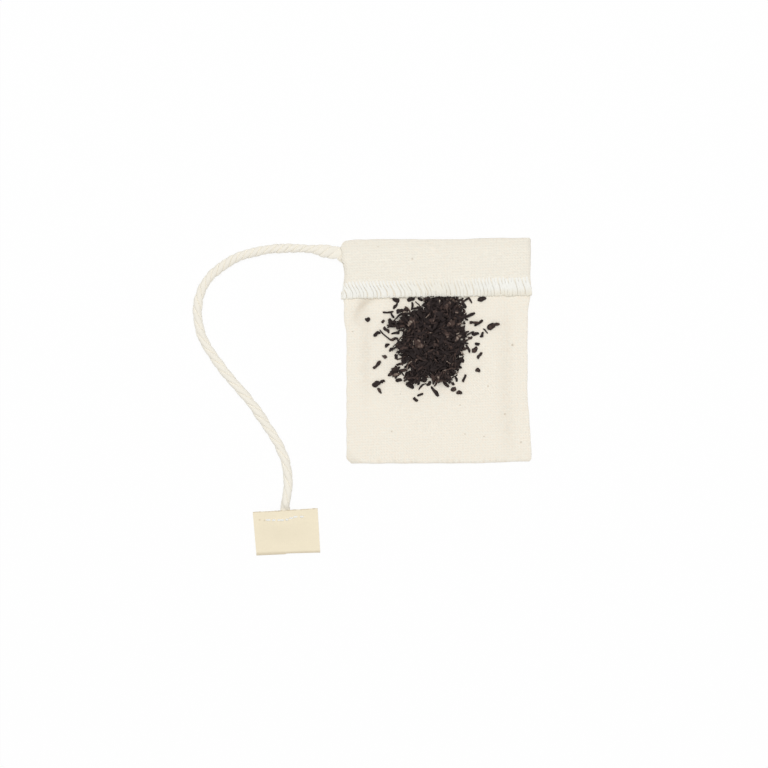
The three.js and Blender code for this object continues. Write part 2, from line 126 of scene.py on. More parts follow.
# Painted shade: how much darker the cloth is painted in its hollows, along its rims, along its bottom fold
# and under the stitches
HOLLOW_SHADE = 0.15
LEFT_RIM_SHADE = 0.045
TOP_RIM_SHADE = 0.09
FOOT_SHADE = 0.18
SEWN_SHADE = 0.05

# Levels of the cloth at the side seams, at the middle of a ply
SEAM_LOW = 0.68 * MM
SEAM_HIGH = 1.02 * MM
CORD_SLOT_LOW = 0.5 * MM
CORD_SLOT_HIGH = 2.8 * MM
CORD_SLOT_HALF = 2.8 * MM
CORD_SLOT_EASE = 2.2 * MM

# The cord's middle line from the side seam to the tag's top edge
CORD_EXIT = np.array((-37.9, 39.6)) * MM
CORD_ROUTE = np.array((
    (0, 0), (-6.2, 0.4), (-13.4, 1.1), (-20.6, 1.4), (-27.8, 1.1), (-34.9, -0.1), (-41.9, -2.2),
    (-48, -5.7), (-53.4, -10.4), (-56.5, -15.7), (-58, -22.2), (-57.5, -28.8), (-55.8, -35),
    (-52.5, -40.6), (-48.4, -46.2), (-43.8, -52), (-39, -57.5), (-34.4, -63.5), (-30.3, -69.5),
    (-26.4, -75.5), (-23.5, -81.8), (-22, -88.2), (-21.8, -94.2), (-22.7, -100), (-23, -103.2),
)) * MM
CORD_TUCK = 5 * MM
CORD_SEWN_LEVEL = 1.635 * MM
CORD_TAG_LEVEL = 1.25 * MM
TAG_TOP = CORD_EXIT + CORD_ROUTE[-1]

# The foot of the tea heap, once round from the flap's left
TEA_MIDDLE = np.array((-2.7, 5.5)) * MM
TEA_FOOT = np.array((
    (-4.5, 24), (-5.4, 18.6), (-9.4, 16.4), (-13.4, 13.4), (-14.6, 11), (-13.4, 8), (-12.2, 5.6),
    (-15.4, 2), (-13, -2.2), (-11.4, -4.6), (-12.4, -8.8), (-11.4, -11.2), (-8.6, -12.4), (-3.6, -11.8),
    (1.6, -12.4), (6, -11.4), (9.6, -8.6), (9.8, -3), (10.8, 1.2), (11.6, 5), (11, 11), (10.4, 17),
    (9.8, 24),
)) * MM
# Clumps at the heap's rim: across, up, half width and half height (mm), and how many leaves
TEA_CLUMPS = (
    (-14.6, 1.3, 2.5, 2, 24), (-16.4, 10.7, 2.8, 1.6, 14), (-9.4, -10.8, 2.8, 2, 24),
    (2.6, -10.6, 3.4, 1.7, 24), (-16.2, -8.4, 2.2, 1.4, 7),
)

# Leaves that lie by themselves round the heap: across, up, length, width (mm) and turn (degrees)
STRAY_LEAVES = (
    (-27.8, 12.5, 2.0, 1.6, 10), (-21.7, 11.7, 1.5, 1.1, 40), (-24.2, 6.8, 3.0, 1.7, 25),
    (-20, 2.2, 2.1, 1.8, 20), (-18.6, 0.4, 1.8, 1.5, 70), (-21, -2.4, 1.9, 1.5, 10),
    (-16.5, -2.4, 2.0, 1.7, 80), (-24, -5.7, 4.2, 1.2, 42), (-14.2, -5, 4.4, 1.4, 22),
    (-18.2, -8.6, 4.2, 1.3, 40), (-21.9, -12.2, 2.0, 1.6, 20), (-24.2, -13.6, 3.4, 2.6, 30),
    (-23.1, -16, 2.6, 1.1, -60), (-15.4, -11.8, 2.6, 1.6, 10), (-11, -14.1, 3.6, 1.6, -30),
    (-3.3, -13.2, 2.3, 1.3, 40), (-1, -16.2, 4.8, 1.4, -52), (-6.8, -17.6, 2.5, 1.1, 30),
    (-8.7, -19.5, 2.2, 1.1, -45), (3.4, -13.5, 3.2, 1.2, -40), (6.5, -15.2, 2.0, 1.8, 0),
    (8.8, -16.7, 2.3, 1.5, -5), (10.8, -11, 3.2, 1.1, 70), (16.2, -7.9, 2.0, 1.6, -20),
    (17, -1.9, 3.0, 1.3, 57), (14.9, 0.5, 3.0, 1.8, 50), (16, 2.8, 1.9, 1.2, -20),
    (13.1, 5.2, 1.8, 1.6, 30), (15.2, 7, 3.0, 1.8, 0), (17.9, 6.4, 2.3, 1.6, 60),
    (19.3, 7.9, 2.6, 0.8, -45), (21.6, 9.6, 3.6, 2.6, 30), (23.4, 10.6, 3.2, 1.5, 12),
    (16.6, 11, 4.0, 1.1, 35), (13.1, 14, 4.6, 1.2, 25), (17.9, 20.6, 3.6, 1.6, 22),
    (13.3, 20.1, 2.6, 0.9, -65), (-16.7, 20.3, 3.2, 1.8, -20), (-16.8, 18, 3.0, 1.3, 60),
    (-19.6, 15.4, 4.4, 1.0, 5), (-15, 16, 2.8, 2.0, 20), (-10.6, 20.4, 3.0, 1.7, 0),
    (-6.7, 20.7, 2.2, 1.4, -45), (-10, 17.8, 3.4, 1.0, 85), (-7.7, 18.7, 3.0, 0.6, -45),
    (-18.2, 14.4, 3.0, 0.9, -60), (-18.4, 11.7, 2.8, 1.5, -50), (-16, 10.4, 5.0, 1.3, -15),
    (-20.4, 8.2, 3.2, 1.3, -45), (-21, 6.2, 6.0, 0.7, -42), (-16.8, 7.2, 3.4, 1.2, 5),
    (-17.4, 4.6, 3.4, 1.1, 15), (-13.9, -7.9, 4.2, 1.2, 10), (-15.6, -9.6, 4.0, 1.1, 45),
    (-17, -7.1, 2.4, 1.6, 45), (11.4, 20.4, 3.6, 1.2, 25), (15, 11.2, 4.0, 1.2, -5),
    (12.4, 0.7, 3.6, 0.9, -65), (10.7, 18.4, 3.2, 1.3, -62), (10.4, 15.4, 2.6, 1.2, 65),
    (9.4, 20.3, 2.6, 1.2, 40), (11.3, 12.9, 2.4, 1, -35), (-5.2, 18.6, 2.4, 1.2, 40),
)

# Stitches across the tag: start, end, and how far below the cut edges each end lies, in mm
TAG_STITCHES = (
    (-8.05, -6, 3.61, 3.73), (-5.3, -4.1, 3.82, 3.88), (-3.2, -1.95, 3.9, 3.97), (-1.9, -0.7, 3.97, 4.04),
    (-0.1, 1.15, 3.88, 3.95), (1.5, 3.05, 3.46, 3.4), (3.2, 4.85, 3.05, 3), (5.8, 7.3, 3.11, 3.19),
)
# Needle holes beside them, painted as dark specks of shade: across, down and half size, in mm
TAG_HOLES = ((-10.4, 3.5, 0.3), (-8.5, 3.85, 0.26))
TAG_FOLD_TILT = 0.65 * MM

# Brown flecks of seed husk in the cloth: across, up and half size, in mm
HUSK_FLECKS = (
    (-33.8, 7.7, 0.2), (-10, 36.7, 0.26), (-23.7, 41.6, 0.18), (30.1, 2.3, 0.34), (20.3, -14.2, 0.22),
    (27.1, -25.3, 0.24), (9.1, -21.7, 0.2), (-18.2, -32.3, 0.2), (11.1, -33.3, 0.18), (18.7, -34.3, 0.2),
    (33.5, -36.6, 0.24), (-14.8, -17.3, 0.16),
)


# Settings that a user would change


def length(name, description, default):
    return FloatProperty(name=name, description=description, default=default, unit="LENGTH", precision=5)


def colour(name, description, default):
    return FloatVectorProperty(
        name=name, description=description, default=default, subtype="COLOR", size=3, min=0, max=1
    )


class TeaBagPouch(bpy.types.PropertyGroup):
    cloth: length("Cloth", "Thickness of one ply of muslin", 0.4 * MM)
    stack: length("Seam Stack", "Height of the four plies along the side seams", 1.6 * MM)
    allowance: length("Seam Allowance", "Cloth turned in along each side seam", 7 * MM)
    crown: length("Crown", "How much the front panel stands up in the middle", 0.8 * MM)
    roll: length("Edge Roll", "How far in from a seam the cloth rounds off", 1.4 * MM)
    flap_roll: length("Flap Roll", "How far in from the sides the flap rounds off", 2.4 * MM)
    flap_edge: length("Flap Edge", "Place of the flap's cut edge", 22.55 * MM)
    flap_rise: length("Flap Rise", "Room between the front panel and the flap by its fold", 0.95 * MM)
    edge_rise: length("Edge Rise", "Room between the front panel and the flap's cut edge", 0.12 * MM)
    tea_lift: length("Tea Lift", "How far the tea lifts the flap's edge", 1.9 * MM)
    mouth: length("Mouth", "Place of the front panel's upper edge under the flap", 32.5 * MM)
    thread_pitch: length("Thread Pitch", "One thread of the weave to the next", 1.09 * MM)
    tint: colour("Muslin", "Colour of the unbleached muslin", (0.889, 0.834, 0.729))
    # Painted shade: the colour that the cloth goes towards in its hollows, along its rims and under the
    # stitches
    hollow_shade_tint: colour("Hollow Colour", "Colour that the hollows tend to", (0.25, 0.15, 0.05))
    fleck_tint: colour("Husk Fleck", "Colour of the husk flecks", (0.42, 0.33, 0.23))


class TeaBagOverlock(bpy.types.PropertyGroup):
    pitch: length("Pitch", "One stitch to the next", 1.36 * MM)
    width: length("Width", "How far the stitches reach up from the cut edge", BAND)
    lean: length("Lean", "How far a stitch leans at the left end of the band", 2.2 * MM)
    upright_lean: length("Upright Lean", "How far a stitch leans along the rest of the band", 1.3 * MM)
    thread: length("Thread", "Half the width of one strand", 0.35 * MM)
    tint: colour("Thread Colour", "Colour of the bleached thread", (0.904, 0.896, 0.847))
    # Painted shade: the colour the thread goes towards between the strands and towards the cut edge
    groove_shade_tint: colour("Groove Colour", "Colour between the strands", (0.8, 0.716, 0.54))


class TeaBagTea(bpy.types.PropertyGroup):
    height: length("Height", "Height of the heap over the front panel", 5 * MM)
    attempts: IntProperty(name="Attempts", description="Leaves tried on the heap", default=3400, min=1)
    fringe: IntProperty(name="Fringe", description="Leaves round the heap's foot", default=210, min=0)
    dark_tint: colour("Dark Leaf", "Colour of the darkest leaves", (0.0236, 0.0179, 0.0176))
    leaf_tint: colour("Leaf", "Colour of most leaves", (0.0302, 0.0224, 0.0213))
    brown_tint: colour("Brown Leaf", "Colour of the browner leaves", (0.09, 0.058, 0.048))
    stem_tint: colour("Stem", "Colour of the few pale stems", (0.44, 0.37, 0.305))


class TeaBagCord(bpy.types.PropertyGroup):
    diameter: length("Diameter", "Diameter of the twisted cord", 3.8 * MM)
    sewn_width: length("Sewn Width", "Width of the cord pressed flat in the seam", 5.2 * MM)
    sewn_height: length("Sewn Height", "Height of the cord in the seam", 1.3 * MM)
    tag_width: length("Width in Tag", "Width of the cord between the tag's leaves", 4.15 * MM)
    tag_height: length("Height in Tag", "Height of the cord between the tag's leaves", 1.15 * MM)
    lay: length("Lay", "Length of one full twist by the pouch", 8.8 * MM)
    slack_lay: length("Slack Lay", "Length of one full twist by the tag", 17 * MM)
    hairs: IntProperty(name="Hairs", description="Loose fibres on the cord", default=110, min=0)
    tint: colour("Cotton", "Colour of the undyed cotton", (0.895, 0.853, 0.757))
    # Painted shade: the colour the strands go towards in the grooves between them
    groove_shade_tint: colour("Groove Colour", "Colour between the strands", (0.9, 0.85, 0.742))


class TeaBagTag(bpy.types.PropertyGroup):
    width: length("Width", "Width of the tape", 26 * MM)
    length: length("Length", "Cut edges to fold", 17.25 * MM)
    tape: length("Tape", "Thickness of one leaf of tape", 0.35 * MM)
    turn: FloatProperty(
        name="Turn", description="How far the tag is turned", default=math.radians(3.4), subtype="ANGLE"
    )
    thread: length("Stitch Thread", "Half the thickness of the stitches' thread", 0.4 * MM)
    tint: colour("Tape Colour", "Colour of the cream tape", (0.878, 0.789, 0.605))
    # Colour of the tape's cut edges, also used as painted shade along its fold and in its needle holes
    edge_tint: colour("Edge Colour", "Colour of the tape's cut and folded edges", (0.6, 0.51, 0.37))
    stitch_tint: colour("Stitch Colour", "Colour of the stitches", (0.89, 0.88, 0.83))


class TeaBagStage(bpy.types.PropertyGroup):
    view_width: length("View Width", "Width of the picture on the floor", 307.2 * MM)
    lens: FloatProperty(name="Lens", description="Focal length in millimetres", default=100, min=1)
    world_light: FloatProperty(name="World Light", description="Even light from all round", default=0.5)
    key_power: FloatProperty(
        name="Key Power", description="Power of the broad light overhead", default=15.5, unit="POWER"
    )
    floor_glow: FloatProperty(
        name="Floor Glow", description="Share of plain white in the floor that is seen", default=0.9
    )


# Shaping

# A ripple's waves, and their shortest and longest size as shares of its own
RIPPLE_WAVES = 9
RIPPLE_SHORTEST = 1.4
RIPPLE_LONGEST = 2.8
# How round a blunt corner is, and how many steps there are to a sample of a curve
CORNER_POWER = 1.3
FINE_STEPS = 8


def smooth(share):
    """0 before 0, 1 after 1 and a soft rise between them."""
    share = np.clip(share, 0.0, 1.0)
    return share * share * (3.0 - 2.0 * share)


def between(value, ends):
    """A soft rise from 0 to 1 as a value goes from the first end to the second."""
    return smooth((value - ends[0]) / (ends[1] - ends[0]))


def swell(distance):
    """1 in the middle, falling softly to 0 at a distance of 1."""
    return np.clip(1.0 - distance * distance, 0.0, 1.0) ** 2


def bell(distance):
    """1 in the middle, falling off on both sides with no end."""
    return np.exp(-distance * distance)


def hump(value, place, half):
    """1 at a place, falling off on both sides of it with no end."""
    return bell((value - place) / half)


def mix(low, high, share):
    return low + (high - low) * share


def quarter_round(inset):
    """Height share of a rounded edge, from 0 at the edge to 1 at an inset of 1."""
    outside = 1.0 - np.clip(inset, 0.0, 1.0)
    return np.sqrt(1.0 - outside * outside)


def fold_share(turn):
    """1 on the first side of a fold, and 0 on its second side half a turn later."""
    return 0.5 + 0.5 * math.cos(turn)


def from_ends(places):
    """Distance of places along a row from the nearer end of the row."""
    return np.minimum(places - places[0], places[-1] - places)


def round_turns(sides):
    """Angles of evenly spaced points, once round."""
    return FULL_TURN * np.arange(sides) / sides


def rotated(x, y, turn):
    """Places turned about the origin."""
    return x * np.cos(turn) - y * np.sin(turn), x * np.sin(turn) + y * np.cos(turn)


def corner_inset(distance, size):
    """How far a side stands back beside a blunt corner, at a distance from the corner's end."""
    return size * np.clip(1.0 - distance / size, 0.0, 1.0) ** CORNER_POWER


def ripple(x, y, size, seed):
    """Smooth unevenness, mostly from -1 to 1, with bumps of about this size."""
    draw = np.random.default_rng(seed)
    total = np.zeros(np.broadcast(x, y).shape)
    for _ in range(RIPPLE_WAVES):
        turn, stretch, phase = draw.uniform((0, RIPPLE_SHORTEST, 0), (math.pi, RIPPLE_LONGEST, FULL_TURN))
        wave = FULL_TURN / (size * stretch)
        total += np.cos(wave * (x * math.cos(turn) + y * math.sin(turn)) + phase)
    return total / math.sqrt(2 * RIPPLE_WAVES)


def smooth_curve(points, samples):
    """A smooth curve through points, with its samples evenly spaced."""
    steps = np.linalg.norm(np.diff(points, axis=0), axis=1)
    places = line_places(points)
    slopes = np.gradient(points, places, axis=0)
    fine = np.linspace(0, places[-1], FINE_STEPS * samples)
    span = np.clip(np.searchsorted(places, fine, side="right") - 1, 0, len(points) - 2)
    run = steps[span][:, None]
    t = (fine - places[span])[:, None] / run
    start = (1 + 2 * t) * (1 - t) ** 2 * points[span] + t * (1 - t) ** 2 * run * slopes[span]
    end = t * t * (3 - 2 * t) * points[span + 1] - t * t * (1 - t) * run * slopes[span + 1]
    return evenly_spaced(start + end, samples)


def evenly_spaced(line, samples):
    places = line_places(line)
    wanted = np.linspace(0, places[-1], samples)
    return np.stack([np.interp(wanted, places, line[:, axis]) for axis in range(3)], axis=1)


def line_places(line):
    """Distance along a line at each of its points."""
    return np.concatenate(((0.0,), np.cumsum(np.linalg.norm(np.diff(line, axis=0), axis=1))))


def unit(vectors):
    return vectors / np.linalg.norm(vectors, axis=-1, keepdims=True)


def line_frame(line, reference):
    """The directions across and over a line at each of its points."""
    ahead = unit(np.gradient(line, axis=0))
    side = unit(np.cross(reference, ahead))
    return side, np.cross(ahead, side)


# Meshes


class Shape:
    """Points and faces of one piece, gathered part by part. Each point has a tone from 0 to 1."""

    SHARP_ANGLE = math.radians(60)

    def __init__(self):
        self.points = []
        self.faces = []
        self.tones = []
        self.count = 0

    def add(self, points, faces, tone=1.0):
        self.points.append(points)
        self.faces.extend(tuple(corner + self.count for corner in face) for face in faces)
        self.tones.extend(np.broadcast_to(tone, len(points)))
        self.count += len(points)

    def make(self, name, material):
        mesh = bpy.data.meshes.new(name)
        mesh.from_pydata(np.concatenate(self.points).tolist(), [], self.faces)
        mesh.shade_smooth()
        mesh.set_sharp_from_angle(angle=self.SHARP_ANGLE)
        mesh.attributes.new("tone", "FLOAT", "POINT").data.foreach_set("value", self.tones)
        mesh.materials.append(material)
        piece = bpy.data.objects.new(name, mesh)
        bpy.context.collection.objects.link(piece)
        return piece


def tube_faces(rings, sides):
    """Faces of a closed tube whose rings follow each other."""
    faces = [
        (r * sides + k, r * sides + (k + 1) % sides, (r + 1) * sides + (k + 1) % sides, (r + 1) * sides + k)
        for r in range(rings - 1)
        for k in range(sides)
    ]
    first = tuple(reversed(range(sides)))
    last = tuple(range((rings - 1) * sides, rings * sides))
    return [*faces, first, last]


def round_points(line, directions, offsets):
    """Points round a line, from its directions across and over and the distances along each of them."""
    side, rise = directions
    across, over = offsets
    ring = side[:, None, :] * across[..., None] + rise[:, None, :] * over[..., None]
    return (line[:, None, :] + ring).reshape(-1, 3)


def tube(line, across, over, sides, reference=UP):
    """A closed tube along a line. across and over are its half sizes at each point."""
    turn = round_turns(sides)
    offsets = (across[:, None] * np.cos(turn), over[:, None] * np.sin(turn))
    return round_points(line, line_frame(line, reference), offsets), tube_faces(len(line), sides)


def thick_sheet(grid, thickness):
    """A sheet of cloth on both sides of a grid of points, with its cut edges closed."""
    rows, columns = grid.shape[:2]
    normal = unit(np.cross(np.gradient(grid, axis=1), np.gradient(grid, axis=0)))
    outer = (grid + normal * thickness / 2).reshape(-1, 3)
    inner = (grid - normal * thickness / 2).reshape(-1, 3)
    count = rows * columns
    place = np.arange(count).reshape(rows, columns)
    face = np.stack((place[:-1, :-1], place[:-1, 1:], place[1:, 1:], place[1:, :-1]), axis=-1).reshape(-1, 4)
    border = np.concatenate((place[0, :-1], place[:-1, -1], place[-1, :0:-1], place[:0:-1, 0]))
    ahead = np.roll(border, -1)
    rim = np.stack((ahead, border, border + count, ahead + count), axis=-1)
    faces = np.concatenate((face, face[:, ::-1] + count, rim))
    return np.concatenate((outer, inner)), faces.tolist()


def seat(piece, node):
    """Puts a piece on the pouch's body in place of a node."""
    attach(piece, BODY)
    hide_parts(node)


# Finishes

WHITE = (1, 1, 1, 1)
# Soft cotton scatters light and hardly shines
SOFT_COTTON = {
    "Roughness": 0.95,
    "Specular IOR Level": 0.1,
    "Sheen Weight": 0.08,
    "Sheen Roughness": 0.6,
}
# Shares of green and blue that a warmer tint loses for each share of red that it gains
GREEN_LOSS = 0.7
BLUE_LOSS = 1.85


class Value:
    """An output of a finish's nodes. Arithmetic on it adds Math nodes."""

    def __init__(self, finish, socket):
        self.finish = finish
        self.socket = socket

    def other(self, name):
        """Another output of the same node."""
        return Value(self.finish, self.socket.node.outputs[name])

    def math(self, operation, *values):
        return self.finish.node("ShaderNodeMath", {"operation": operation}, dict(enumerate(values)))

    def __add__(self, other):
        return self.math("ADD", self, other)

    __radd__ = __add__

    def __sub__(self, other):
        return self.math("SUBTRACT", self, other)

    def __rsub__(self, other):
        return self.math("SUBTRACT", other, self)

    def __mul__(self, other):
        return self.math("MULTIPLY", self, other)

    __rmul__ = __mul__

    def cosine(self):
        return self.math("COSINE", self)

    def larger(self, other):
        return self.math("MAXIMUM", self, other)

    def rise(self, low, high):
        """A soft rise from 0 at low to 1 at high."""
        settings = {"interpolation_type": "SMOOTHSTEP"}
        return self.finish.node("ShaderNodeMapRange", settings, {"Value": self, 1: low, 2: high})


class Finish:
    """A material, made node by node."""

    CLOUD_DETAIL = 2.0
    CLOUD_ROUGHNESS = 0.55

    def __init__(self, name):
        self.material = bpy.data.materials.new(name)
        self.start(self.material)

    def start(self, owner):
        """Clears the nodes of a material or a world."""
        owner.use_nodes = True
        self.tree = owner.node_tree
        self.tree.nodes.clear()

    def node(self, kind, settings=None, inputs=None, output=0):
        """Adds a node with its settings, and values or links for its inputs. Gives one of its outputs."""
        made = self.tree.nodes.new(kind)
        for name, value in (settings or {}).items():
            if name == "stops":
                set_stops(made.color_ramp, value)
            else:
                setattr(made, name, value)
        for key, value in (inputs or {}).items():
            socket = find_socket(made.inputs, key)
            if isinstance(value, Value):
                self.tree.links.new(value.socket, socket)
            else:
                socket.default_value = value
        return Value(self, find_socket(made.outputs, output)) if made.outputs else None

    def place(self):
        """Place on the object, in metres."""
        return self.node("ShaderNodeTexCoord", output="Object")

    def flat_place(self, place):
        """The parts of a place to the right and towards the pouch's top."""
        x = self.node("ShaderNodeSeparateXYZ", {}, {0: place}, "X")
        return x, x.other("Y")

    def stretched(self, place, scales):
        """A place whose parts are each scaled, so that noise on it has long patches."""
        return self.node("ShaderNodeVectorMath", {"operation": "MULTIPLY"}, {0: place, 1: scales})

    def tone(self):
        """Tone of a piece at a point, which carries painted shade on cloth and yarn, and the leaf's own tone
        with painted top light on tea.
        """
        return self.node("ShaderNodeAttribute", {"attribute_name": "tone"}, output="Fac")

    def cloud(self, place, size, detail=CLOUD_DETAIL):
        """Noise from about 0 to 1 with patches of a size."""
        inputs = {"Vector": place, "Scale": 1 / size, "Detail": detail, "Roughness": self.CLOUD_ROUGHNESS}
        return self.node("ShaderNodeTexNoise", {}, inputs)

    def uneven(self, place, size, detail=CLOUD_DETAIL):
        """Noise on both sides of 0 with patches of a size."""
        return self.cloud(place, size, detail) - 0.5

    def flecks(self, x, y, flecks):
        """1 on small round flecks and 0 beside them."""
        mask = None
        for across, up, half in flecks:
            aside = x - across * MM
            above = y - up * MM
            fleck = 1 - (aside * aside + above * above).rise(0, (2 * half * MM) ** 2)
            mask = fleck if mask is None else mask.larger(fleck)
        return mask

    def blend(self, first, second, share):
        """The first tint where the share is 0 and the second where it is 1."""
        inputs = {"Factor_Float": share, "A_Color": first, "B_Color": second}
        return self.node("ShaderNodeMix", {"data_type": "RGBA"}, inputs, "Result_Color")

    def scaled(self, tint, strength):
        """A tint made lighter or darker."""
        return self.node("ShaderNodeVectorMath", {"operation": "SCALE"}, {0: tint, "Scale": strength})

    def bump(self, height, distance, strength):
        return self.node("ShaderNodeBump", {}, {"Height": height, "Distance": distance, "Strength": strength})

    def seen_directly(self):
        """1 for rays from the camera and for those that mirror or pass on what it sees."""
        path = self.node("ShaderNodeLightPath", output="Is Camera Ray")
        return path.larger(path.other("Is Glossy Ray")).larger(path.other("Is Transmission Ray"))

    def surface(self, inputs):
        """Ends the nodes with a plain surface, and gives the material."""
        shader = self.node("ShaderNodeBsdfPrincipled", {}, inputs)
        self.node("ShaderNodeOutputMaterial", {}, {"Surface": shader})
        return self.material


def find_socket(sockets, key):
    if isinstance(key, int):
        return sockets[key]
    return next(s for s in sockets if key in (s.identifier, s.name))


def set_stops(ramp, stops):
    while len(ramp.elements) < len(stops):
        ramp.elements.new(0.5)
    for element, (position, tint) in zip(ramp.elements, stops):
        element.position = position
        element.color = tint


def opaque(tint, strength=1.0):
    """A tint, made lighter or darker, with full alpha."""
    return (*(min(1.0, part * strength) for part in tint), 1.0)


def coloured(tint, shift):
    """A tint made warmer by a shift above 0, or cooler by one below 0."""
    red, green, blue = tint
    return opaque((red * (1 + shift), green * (1 - GREEN_LOSS * shift), blue * (1 - BLUE_LOSS * shift)))


class MuslinFinish(Finish):
    """Unbleached muslin: an uneven weave with slubs, loose fibres and flecks of husk, and painted shade where
    its tone is below 1.
    """

    STRAY = 5.0
    STRAY_SIZE = 9 * MM
    STRAY_STRETCH = 0.15
    WEFT_TILT = 0.045
    WEFT_SHADE = 0.015
    WARP_SHADE = 0.0105
    CROSSING_SHADE = 0.0225
    SLUB_SIZE = 0.55 * MM
    SLUB_STRETCH = 0.1
    SLUB_SHADE = 0.03
    FIBRE_SIZE = 0.42 * MM
    FIBRE_DETAIL = 1.0
    FIBRE_SHADE = 0.25
    PATCH_SIZE = 9 * MM
    PATCH_SHADE = 0.02
    MOTTLE_SIZE = 0.9 * MM
    MOTTLE_ENDS = (0.3, 0.7)
    HUE_SHIFT = 0.013
    FLAP_FADE = 6 * MM
    FLAP_GRAIN = 0.35
    FLAP_SHADE = 0.012
    FLAP_MOTTLE = 0.3
    FLECK_SHARE = 0.5
    GAP_RELIEF = 8.0
    RELIEF = 0.05 * MM
    RELIEF_STRENGTH = 0.7

    def stray(self, place, stretch):
        """How far the threads stray from straight lines, as a phase of the weave."""
        return self.cloud(self.stretched(place, stretch), self.STRAY_SIZE) * self.STRAY

    def gaps(self, place, x, y, pitch):
        """How much darker the cloth is in the gaps beside its threads."""
        threads = FULL_TURN / pitch
        upright = x * threads + self.stray(place, (1, self.STRAY_STRETCH, 1))
        level = (y - x * self.WEFT_TILT) * threads + self.stray(place, (self.STRAY_STRETCH, 1, 1))
        beside = level.cosine() * self.WEFT_SHADE + upright.cosine() * self.WARP_SHADE
        return beside + (upright + level).cosine() * self.CROSSING_SHADE

    def make(self, pouch):
        place = self.place()
        x, y = self.flat_place(place)
        gaps = self.gaps(place, x, y, pouch.thread_pitch)
        slubs = self.uneven(self.stretched(place, (self.SLUB_STRETCH, 1, 1)), self.SLUB_SIZE)
        fibres = self.uneven(place, self.FIBRE_SIZE, self.FIBRE_DETAIL)
        patches = self.uneven(place, self.PATCH_SIZE)
        flap = y.rise(pouch.flap_edge, pouch.flap_edge + self.FLAP_FADE)
        grain = slubs * self.SLUB_SHADE + fibres * self.FIBRE_SHADE + patches * self.PATCH_SHADE - gaps
        shade = grain * (flap * self.FLAP_GRAIN + 1) + 1 - flap * self.FLAP_SHADE
        mottle = self.cloud(place, self.MOTTLE_SIZE).rise(*self.MOTTLE_ENDS) + flap * self.FLAP_MOTTLE
        warm = coloured(pouch.tint, self.HUE_SHIFT)
        cool = coloured(pouch.tint, -self.HUE_SHIFT)
        cloth = self.scaled(self.blend(warm, cool, mottle), shade)
        # Painted shade: where the tone is below 1 the cloth goes towards the hollow shade tint
        cloth = self.blend(opaque(pouch.hollow_shade_tint), cloth, self.tone())
        flecks = self.flecks(x, y, HUSK_FLECKS) * self.FLECK_SHARE
        height = slubs + fibres - gaps * self.GAP_RELIEF
        return self.surface({
            **SOFT_COTTON,
            "Base Color": self.blend(cloth, opaque(pouch.fleck_tint), flecks),
            "Normal": self.bump(height, self.RELIEF, self.RELIEF_STRENGTH),
        })


class CottonFinish(Finish):
    """Soft cotton yarn, a little uneven, with painted shade of another tint in its grooves where its tone is
    below 1.
    """

    FIBRE_SIZE = 0.35 * MM
    FIBRE_DETAIL = 3.0
    FIBRE_SHADE = 0.06
    PATCH_SIZE = 4 * MM
    PATCH_SHADE = 0.04
    DARKEST = 0.95
    RELIEF = 0.06 * MM
    RELIEF_STRENGTH = 0.6

    def make(self, tint, groove_shade_tint):
        place = self.place()
        fibres = self.cloud(place, self.FIBRE_SIZE, self.FIBRE_DETAIL)
        patches = self.cloud(place, self.PATCH_SIZE)
        shade = fibres * self.FIBRE_SHADE + patches * self.PATCH_SHADE + self.DARKEST
        # Painted shade: the yarn goes towards the groove shade tint where its tone is below 1
        yarn = self.blend(opaque(groove_shade_tint), opaque(tint), self.tone())
        return self.surface({
            **SOFT_COTTON,
            "Base Color": self.scaled(yarn, shade),
            "Normal": self.bump(fibres, self.RELIEF, self.RELIEF_STRENGTH),
        })


class TeaFinish(Finish):
    """Dried leaf, dark and wrinkled, with brown dust on it."""

    LEAF_TONE = 0.6
    BROWN_TONE = 0.85
    DETAIL = 3.0
    WRINKLE_SIZE = 0.5 * MM
    DUST_SIZE = 0.9 * MM
    DUST_ENDS = (0.52, 0.75)
    DUST_SHARE = 0.32
    ROUGHNESS = 0.6
    ROUGHNESS_SPREAD = 0.3
    SHINE = 0.1
    RELIEF = 0.25 * MM
    RELIEF_STRENGTH = 0.8

    def make(self, tea):
        place = self.place()
        stops = [
            (0.0, opaque(tea.dark_tint)),
            (self.LEAF_TONE, opaque(tea.leaf_tint)),
            (self.BROWN_TONE, opaque(tea.brown_tint)),
            (1.0, opaque(tea.stem_tint)),
        ]
        tint = self.node("ShaderNodeValToRGB", {"stops": stops}, {"Fac": self.tone()})
        wrinkles = self.cloud(place, self.WRINKLE_SIZE, self.DETAIL)
        dust = self.cloud(place, self.DUST_SIZE, self.DETAIL).rise(*self.DUST_ENDS) * self.DUST_SHARE
        return self.surface({
            "Base Color": self.blend(tint, opaque(tea.brown_tint), dust),
            "Normal": self.bump(wrinkles, self.RELIEF, self.RELIEF_STRENGTH),
            "Roughness": wrinkles * self.ROUGHNESS_SPREAD + self.ROUGHNESS,
            "Specular IOR Level": self.SHINE,
        })


